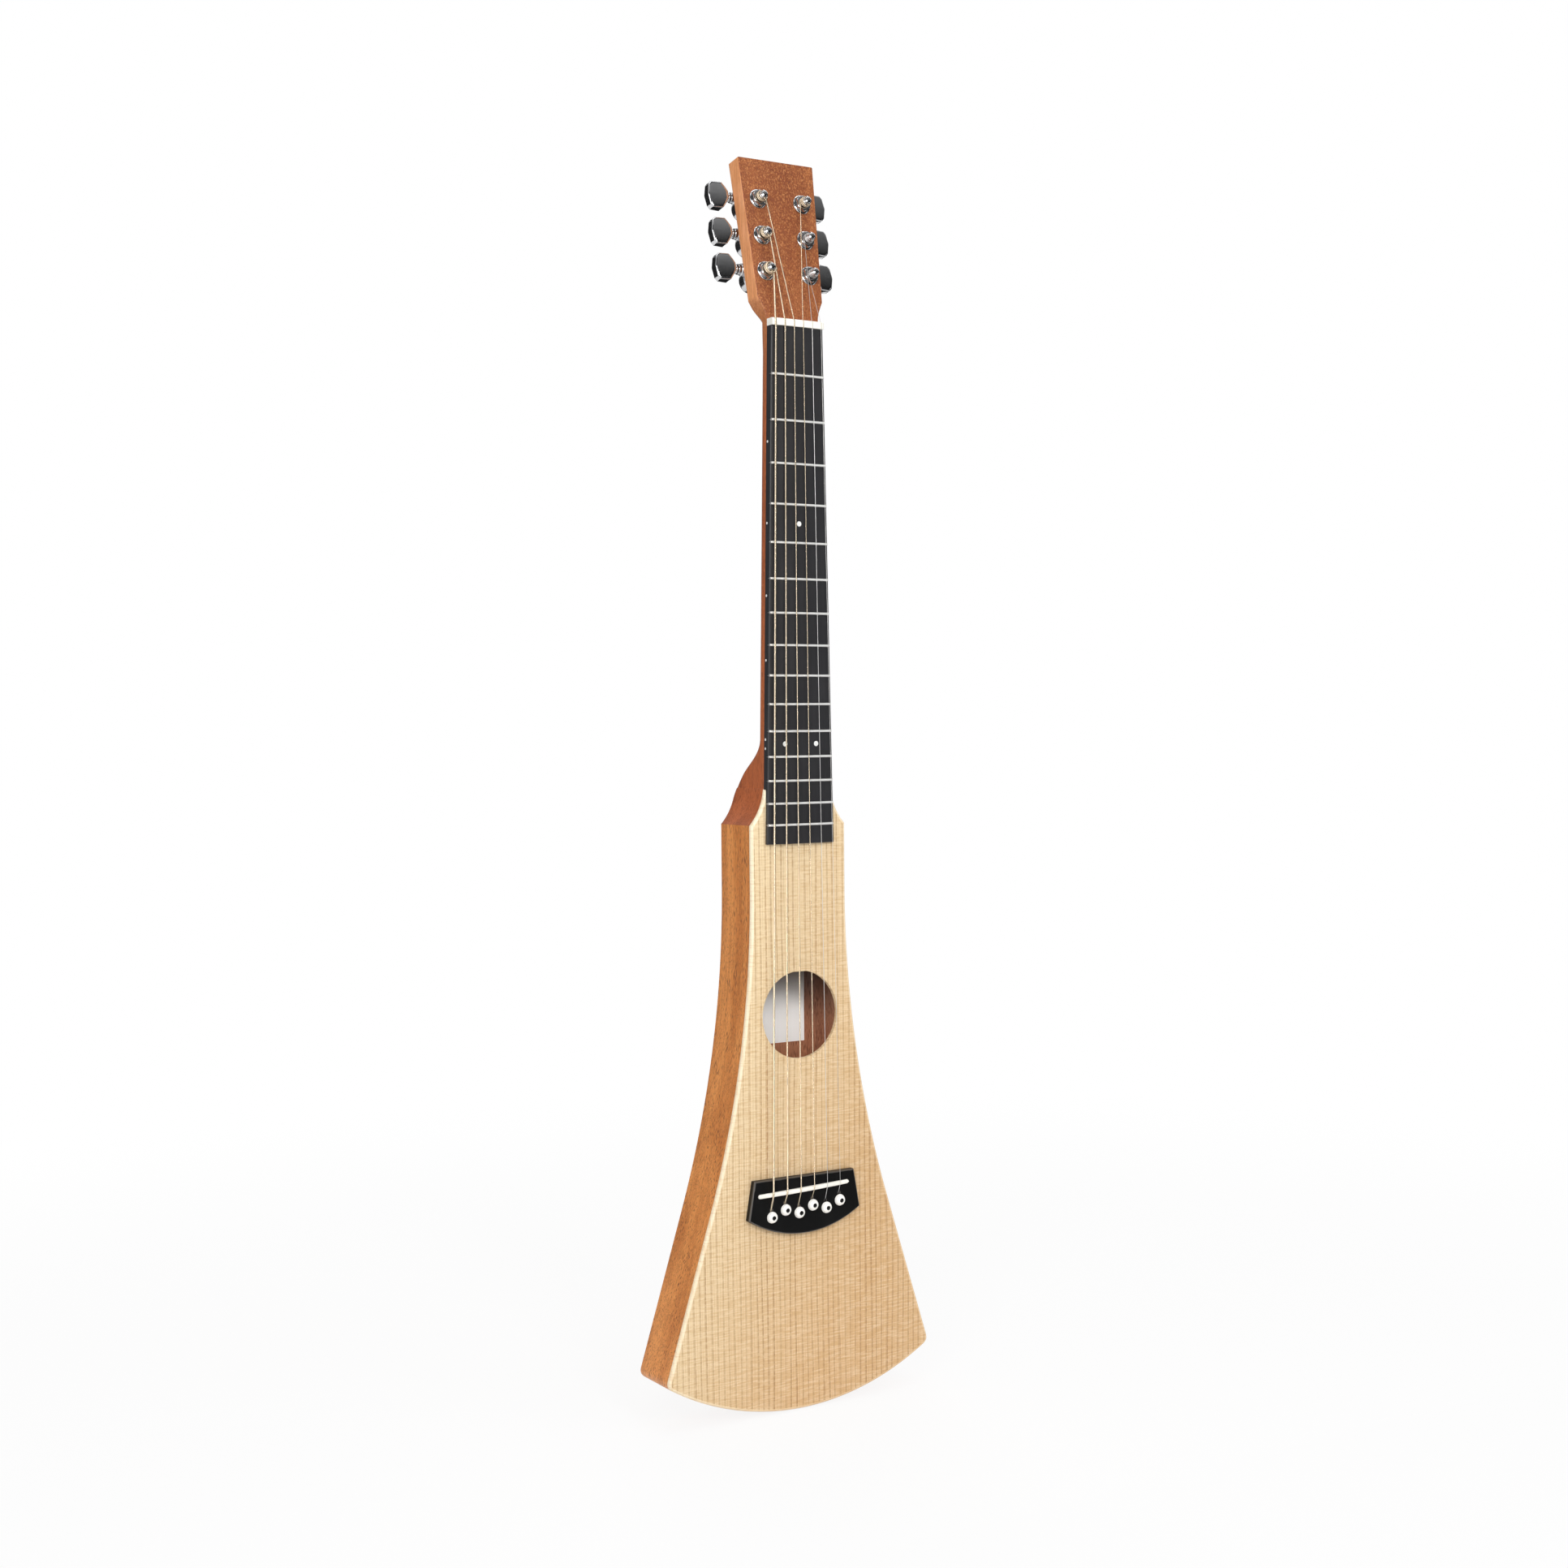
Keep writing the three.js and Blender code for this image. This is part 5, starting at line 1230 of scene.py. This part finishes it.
def closer(path, most=4.0):
    """The same path with places added, so that no two are further apart than most mm."""
    gaps = np.linalg.norm(np.diff(path, axis=0), axis=1)
    length = np.concatenate([[0.0], np.cumsum(gaps)])
    counts = np.maximum(np.ceil(gaps / most).astype(int), 1)
    first = np.repeat(np.arange(len(gaps)), counts)
    inside = np.arange(len(first)) - np.repeat(np.cumsum(counts) - counts, counts)
    at = np.append(length[first] + inside * gaps[first] / counts[first], length[-1])
    return np.stack([np.interp(at, length, path[:, k]) for k in range(3)], axis=1)


def tube_piece(name, path, radius, material, sides=14):
    """A wire as a piece, with a UV map called along: u is the length in metres up to the path's
    place nearest to each point, and v is 0."""
    grid, length = wire(path, radius, sides)
    piece = piece_from(name, [capped(grid)], [material], [True], sharp=60, merge=0.000002)
    mesh = piece.data
    places = np.empty(len(mesh.vertices) * 3)
    mesh.vertices.foreach_get("co", places)
    corner = np.empty(len(mesh.loops), np.int32)
    mesh.loops.foreach_get("vertex_index", corner)
    apart = np.linalg.norm(places.reshape(-1, 1, 3) - path[None] * MM, axis=2)
    nearest = apart.argmin(axis=1)
    layer = mesh.uv_layers.new(name="along")
    values = np.stack([length[nearest][corner], np.zeros(len(corner))], axis=1)
    layer.data.foreach_set("uv", values.ravel().astype(np.float32))
    return piece


STRING_LOOKS = [(BRONZE, "wound_string")] * 4 + [(STEEL, "plain_string")] * 2
for i, name in enumerate(NAMES):
    material, slot = STRING_LOOKS[i]
    piece = tube_piece(f"wire_{name}", closer(STRING_PATHS[i]), GAUGES[i] / 2, material)
    place_piece(piece, "root", slot, f"string_{name}")
    print(name, "wire", round(float(wire(STRING_PATHS[i], 1.0)[1][-1]), 3), "m")

# %% [markdown]
# A tuning machine is chrome all over. On the headstock's face sit a washer and a hexagonal nut,
# and the post rises through them with a waist for the wire and a small domed cap. Each is a lathe
# or a loft in the headstock's own directions.

# %% Posts and nuts
def head_lathe(profile, x, rise, steps=48):
    """A lathe about the headstock's normal at a place on its face; heights are off the face."""
    return lathe(profile, in_head([x, rise, 0.0]), HEAD_OUT, RIGHT, HEAD_UP, steps)


def post_piece(name, x, rise):
    """The part that shows: a stem, a waist, a collar and a domed cap."""
    top, radius = POST_HEIGHT, POST_RADIUS
    turns = np.linspace(0.0, math.pi / 2, 9)
    cap = np.stack([2.32 * np.cos(turns), top - 0.75 + 0.75 * np.sin(turns)], axis=1)
    stem = curve([(0.0, -22.0), (radius, -22.0), (radius, top - 2.7), (2.5, top - 2.4),
                  (2.5, top - 1.4), (2.78, top - 1.1), (2.78, top - 0.9), (2.32, top - 0.75)])
    profile = np.concatenate([stem, cap[1:]])
    post = piece_from(f"post_stem_{name}", [head_lathe(profile, x, rise)], [CHROME], [True],
                      sharp=50)
    return place_piece(post, f"post_{name}", "chrome_post", f"post_{name}")


def hexagon(flat, turned, sides=6, steps=12):
    """Radius and angle round a hexagon whose corners are turned off: the least of side and circle."""
    turn = np.linspace(0.0, 2 * math.pi, sides * steps, endpoint=False)
    side = flat / np.cos((turn + math.pi / sides) % (2 * math.pi / sides) - math.pi / sides)
    return np.minimum(side, turned), turn


def bushing_piece(name, x, rise):
    """A domed washer, then rings of a hexagon whose corners are turned off towards its top."""
    washer = curve([(3.3, 0.3), (7.0, 0.3), (7.0, 0.75), (6.2, 1.25), (3.3, 1.3)], 5)
    rings = []
    for level, flat, turned in ((0.9, 5.3, 6.12), (3.1, 5.3, 6.12), (3.55, 5.3, 5.75),
                                (3.82, 5.3, 5.4), (3.9, 5.1, 5.1), (3.9, 3.45, 3.45),
                                (3.7, 3.3, 3.3), (0.9, 3.3, 3.3)):
        reach, turn = hexagon(flat, turned)
        ring = np.stack([x + reach * np.cos(turn), rise + reach * np.sin(turn),
                         np.full(len(turn), level)], axis=1)
        rings.append(in_head(ring))
    closed_washer = np.concatenate([washer, washer[:1]])
    grids = [head_lathe(closed_washer, x, rise, 64), np.stack([*rings, rings[0]])]
    nut = piece_from(f"washer_and_nut_{name}", grids, [CHROME], [True, True], sharp=34)
    return place_piece(nut, "root", "chrome_bushing", f"bushing_{name}")


for name, side, rise in zip(NAMES, SIDES, RISES):
    post_piece(name, side * POST_OFFSET, rise)
    bushing_piece(name, side * POST_OFFSET, rise)
print("posts at rises", RISES)

# %% [markdown]
# Behind the headstock each machine has a sealed cover: a round cup over the gear, a barrel across
# it for the worm, and a small ear with a screw. Each is a lathe or a loft, and they meet as one
# casting.

# %% Covers
COVER_FACE = -HEAD_THICK - CLEAR
COVER_BACK = COVER_FACE - 11.2
EAR_RADIUS, EAR_DROP = 2.9, 9.5


def key_lathe(profile, x, rise, side):
    """A lathe about the key's own axis; profile gives radius and distance out from the post."""
    centre = in_head([x, rise + GEAR_CENTRE, -SHAFT_DEPTH])
    return lathe(profile, centre, (side, 0.0, 0.0), HEAD_UP, HEAD_OUT, 40)


def cover_piece(name, side, rise):
    """Cup, barrel and screw as lathes, and the ear as rings of a long half round."""
    x = side * POST_OFFSET
    cup = curve([(0.0, COVER_FACE), (8.6, COVER_FACE), (8.6, COVER_BACK + 1.6),
                 (7.2, COVER_BACK), (5.2, COVER_BACK), (4.9, COVER_BACK + 0.35),
                 (0.0, COVER_BACK + 0.35)], 7)
    barrel = curve([(0.0, -8.0), (3.6, -8.0), (4.5, -7.2), (4.5, 8.9), (4.2, 9.3), (3.9, 9.6),
                    (3.9, 11.6), (3.6, 12.0), (2.3, 12.0), (2.3, 10.0), (0.0, 10.0)], 5)
    turns = np.linspace(math.pi, 2 * math.pi, 25)
    tip = np.stack([EAR_RADIUS * np.cos(turns), -EAR_DROP + EAR_RADIUS * np.sin(turns)], axis=1)
    ear = np.concatenate([[(EAR_RADIUS, 0.0)], tip[::-1], [(-EAR_RADIUS, 0.0)]])
    ear_rings = []
    for inset, level in ((0.0, COVER_FACE), (0.0, COVER_FACE - 1.5), (0.3, COVER_FACE - 1.8)):
        flat = ear * (1 - inset / EAR_RADIUS, 1 - inset / EAR_DROP)
        points = np.stack([x + flat[:, 0], rise + flat[:, 1], np.full(len(flat), level)], axis=1)
        ear_rings.append(in_head(points))
    screw = curve([(0.0, COVER_FACE - 1.6), (1.9, COVER_FACE - 1.7), (1.9, COVER_FACE - 2.1),
                   (1.0, COVER_FACE - 2.75), (0.0, COVER_FACE - 2.85)], 6)
    centre = in_head([x, rise - EAR_DROP, 0.0])
    grids = [head_lathe(cup, x, rise, 64), key_lathe(barrel, x, rise, side),
             capped(np.stack(ear_rings)), lathe(screw, centre, HEAD_OUT, RIGHT, HEAD_UP, 32)]
    cover = piece_from(f"gear_cover_{name}", grids, [CASTING], [True] * 4, sharp=38)
    return place_piece(cover, "root", "chrome_casting", f"housing_{name}")


print("covers are", round(COVER_FACE - COVER_BACK, 1), "mm deep")

# %% [markdown]
# The key's shaft comes out of the barrel's collar sideways and ends in a flat button with blunt
# corners, a little thinner toward its outer end. Rings of its outline, drawn in toward both faces,
# make the button, and one loop sets the six covers and the six keys.

# %% Keys
BUTTON_MIDDLE, BUTTON_HALF, BUTTON_TALL, BUTTON_THICK = 23.15, 7.85, 9.7, 3.8
DOME, THINNING = 0.7, 0.28


def key_piece(name, side, rise):
    """A lathe for the shaft, then rings of the button's blunt outline from one face to the other:
    thickness falls off outwards, and a parabola across the button adds a dome to both faces."""
    x = side * POST_OFFSET
    shaft = curve([(0.0, -6.0), (1.9, -6.0), (1.9, 12.2), (3.2, 12.4), (3.3, 13.6), (2.7, 14.3),
                   (2.7, 15.2), (3.6, 16.2), (0.0, 16.4)], 5)
    upper = curve([(0.0, 0.0), (0.0, 0.26), (0.12, 0.60), (0.29, 1.0), (0.80, 1.0), (0.92, 0.78),
                   (1.0, 0.05), (1.0, 0.0)], 5, 0.04)
    outline = np.concatenate([upper, (upper * (1, -1))[::-1][1:-1]])
    rings = []
    bevel = [(BUTTON_THICK - 0.9 * left, 1.1 * drawn) for left, drawn in quarter(1.0, 6)]
    inner = [(3.84, inset) for inset in (1.5, 2.6, 4.0, 5.6, 7.4)]
    levels = [(2.0, 0.15), (2.9, 0.0), *bevel[1:], *inner]
    for height, inset in [(-h, i) for h, i in levels[::-1]] + levels:
        reach = (2 * outline[:, 0] - 1) * (BUTTON_HALF - inset)
        along = BUTTON_MIDDLE + reach
        tall = outline[:, 1] * (BUTTON_TALL - inset)
        high = GEAR_CENTRE + tall
        dome = DOME * (1 - (tall / BUTTON_TALL) ** 2)
        thick = height * (1 - THINNING * reach / BUTTON_HALF)
        thick = thick + dome * smooth(abs(height) / BUTTON_THICK) * np.sign(height)
        rings.append(in_head(np.stack([x + side * along, rise + high, thick - SHAFT_DEPTH], axis=1)))
    grids = [key_lathe(shaft, x, rise, side), capped(np.stack(rings))]
    key = piece_from(f"key_with_button_{name}", grids, [CHROME], [True, True], sharp=42)
    return place_piece(key, f"key_{name}", "chrome_key", f"key_{name}")


for name, side, rise in zip(NAMES, SIDES, RISES):
    cover_piece(name, side, rise)
    key_piece(name, side, rise)
print("six covers and six keys")

# %% [markdown]
# Each string begins at a brass ball, a short barrel with a groove round its middle, that lies under
# the bridge plate beside its pin. At the other end a short tail of the wire is locked in the hole
# across the post, and it turns with the post.

# %% Ball ends and tails
def ball_end(i, name):
    """A lathe across x with a waist, standing where the string's path begins."""
    profile = curve([(0.0, 0.0), (1.5, 0.0), (2.0, 0.45), (1.55, 1.2), (1.55, 2.2), (2.0, 2.95),
                     (1.5, 3.4), (0.0, 3.4)], 5, 0.3)
    grid = lathe(profile + (0.0, -1.7), STRING_PATHS[i][0], RIGHT, FRONT, UP, 32)
    ball = piece_from(f"ball_end_{name}", [grid], [BRASS], [True], sharp=60)
    return place_piece(ball, "root", "wound_string", f"string_{name}")


def string_tail(i, name):
    """A short straight wire through the post's hole, with its cut ends just proud of the waist."""
    height = POST_HEIGHT - 1.9
    share = np.linspace(-1.0, 1.0, 9)
    x, rise = SIDES[i] * POST_OFFSET, RISES[i]
    path = in_head(np.stack([x + 0 * share, rise + 3.5 * share, height + 0 * share], axis=1))
    material, slot = STRING_LOOKS[i]
    tail = tube_piece(f"tail_{name}", path, min(GAUGES[i] / 2, 0.5), material, 12)
    return place_piece(tail, f"post_{name}", slot)


BRASS = metal("ball_brass", (0.78, 0.58, 0.28), 0.25)
for i, name in enumerate(NAMES):
    ball_end(i, name)
    string_tail(i, name)
print("six ball ends and six tails")

# %% [markdown]
# A paper label lies on the cavity's floor, seen through the soundhole. It is left blank. It
# follows the floor, and its two long edges rise a little on the cove.

# %% Label
PAPER_HALF, PAPER_TOP, PAPER_END, PAPER_LIFT, PAPER_THICK = 27.8, -437.0, -515.7, 0.12, 0.08


def label_sheet():
    """The floor's height less the cove's rise, 12 - sqrt(144 - d^2) for d mm past its start."""
    x = np.linspace(-PAPER_HALF, PAPER_HALF, 45)[None, :]
    z = np.linspace(PAPER_END, PAPER_TOP, 49)[:, None]
    past = np.clip(-z - FLARE_START, 0.0, None)
    half = HALF_SHOULDER + FLARE_RADIUS - np.sqrt(FLARE_RADIUS ** 2 - past ** 2)
    into = np.clip(np.abs(x) - (half - WALL - COVE), 0.0, COVE - 1.0)
    y = BODY_DEPTH - BACK - (COVE - np.sqrt(COVE ** 2 - into ** 2)) - PAPER_LIFT
    top = np.stack(np.broadcast_arrays(x, y, z), axis=-1)
    under = top + (0.0, PAPER_THICK, 0.0)
    return piece_from("blank_label", [top, under, *rim(top, under)], [PAPER], sharp=50)


def shaded_glowing_paper(name, white=(0.99, 0.98, 0.96), shade=(0.10, 0.08, 0.065)):
    """White paper at its lit lower end that falls into painted shade under the hole's upper rim, and
    glows faintly with painted light.
    """
    material, place, feed = new_material(name, white, Roughness=0.75)
    fibre = place.stretched((1500.0, 1500.0, 600.0)).noise(1.0, 2.0)
    paper = mix(place.axis("Z").step(-0.502, -0.460, 0.0, 0.97), white, shade)
    # Painted light: the paper glows faintly in its own colour, and its painted shade falls toward the
    # hole's upper rim.
    feed(Base_Color=paper,
         Emission_Color=paper,
         Roughness=fibre * 0.12 + 0.69)
    material.node_tree.nodes["Principled BSDF"].inputs["Emission Strength"].default_value = 0.18
    return material


PAPER = shaded_glowing_paper("label_paper")
place_piece(label_sheet(), "root", "pin_plastic")
print("label", 2 * PAPER_HALF, "x", round(PAPER_TOP - PAPER_END, 1), "mm, blank")

# %% [markdown]
# White dots mark the fifth and the twelfth fret on the fretboard's face, one and two of them, and
# a row of smaller dots lies along its bass edge, where the player looks down on them.

# %% Position dots
def dot_piece(name, centre, out, side, radius):
    """A shallow lathe, a hair proud of the board."""
    profile = [(0.0, -0.3), (radius, -0.3), (radius, 0.03), (radius * 0.9, 0.05), (0.0, 0.06)]
    dot = piece_from(name, [lathe(profile, centre, out, side, UP, 40)], [DOT_WHITE], [True])
    return place_piece(dot, "root", "pin_plastic")


def between(low, high):
    """The middle of the space between two frets, as a drop from the nut."""
    return float(fret_drop(low) + fret_drop(high)) / 2


FACE_DOTS = {"fifth": (0.0, between(4, 5)), "twelfth_left": (-13.0, between(11, 12)),
             "twelfth_right": (13.0, between(11, 12))}
for name, (x, drop) in FACE_DOTS.items():
    lean = math.asin(x / CAMBER)
    centre = (x, float(board_top(x)), -drop)
    dot_piece(f"face_dot_{name}", centre, (math.sin(lean), -math.cos(lean), 0.0),
              (math.cos(lean), math.sin(lean), 0.0), 1.85)
EDGE_DOTS = [between(2, 3), between(4, 5), between(6, 7), between(8, 9),
             between(11, 12) - 3.2, between(11, 12) + 3.2]
for number, drop in enumerate(EDGE_DOTS, 1):
    centre = (-board_half(drop), -1.9, -drop)
    dot_piece(f"edge_dot_{number}", centre, (-1.0, 0.0, 0.0), FRONT, 0.9)
print("dots:", len(FACE_DOTS) + len(EDGE_DOTS))

# %% [markdown]
# The nut, the bridge plate and the cross brace are shown as the model has them. They only get a
# better material.

# %% Materials for the solids that stay
for name, material in {"nut": BONE_WHITE, "bridge_plate": PLATE_WOOD, "cross_brace": BRACE}.items():
    for place in bpy.data.objects[name].material_slots:
        place.material = material
    print(name, "keeps its shape")

# %% End
print("scene built")
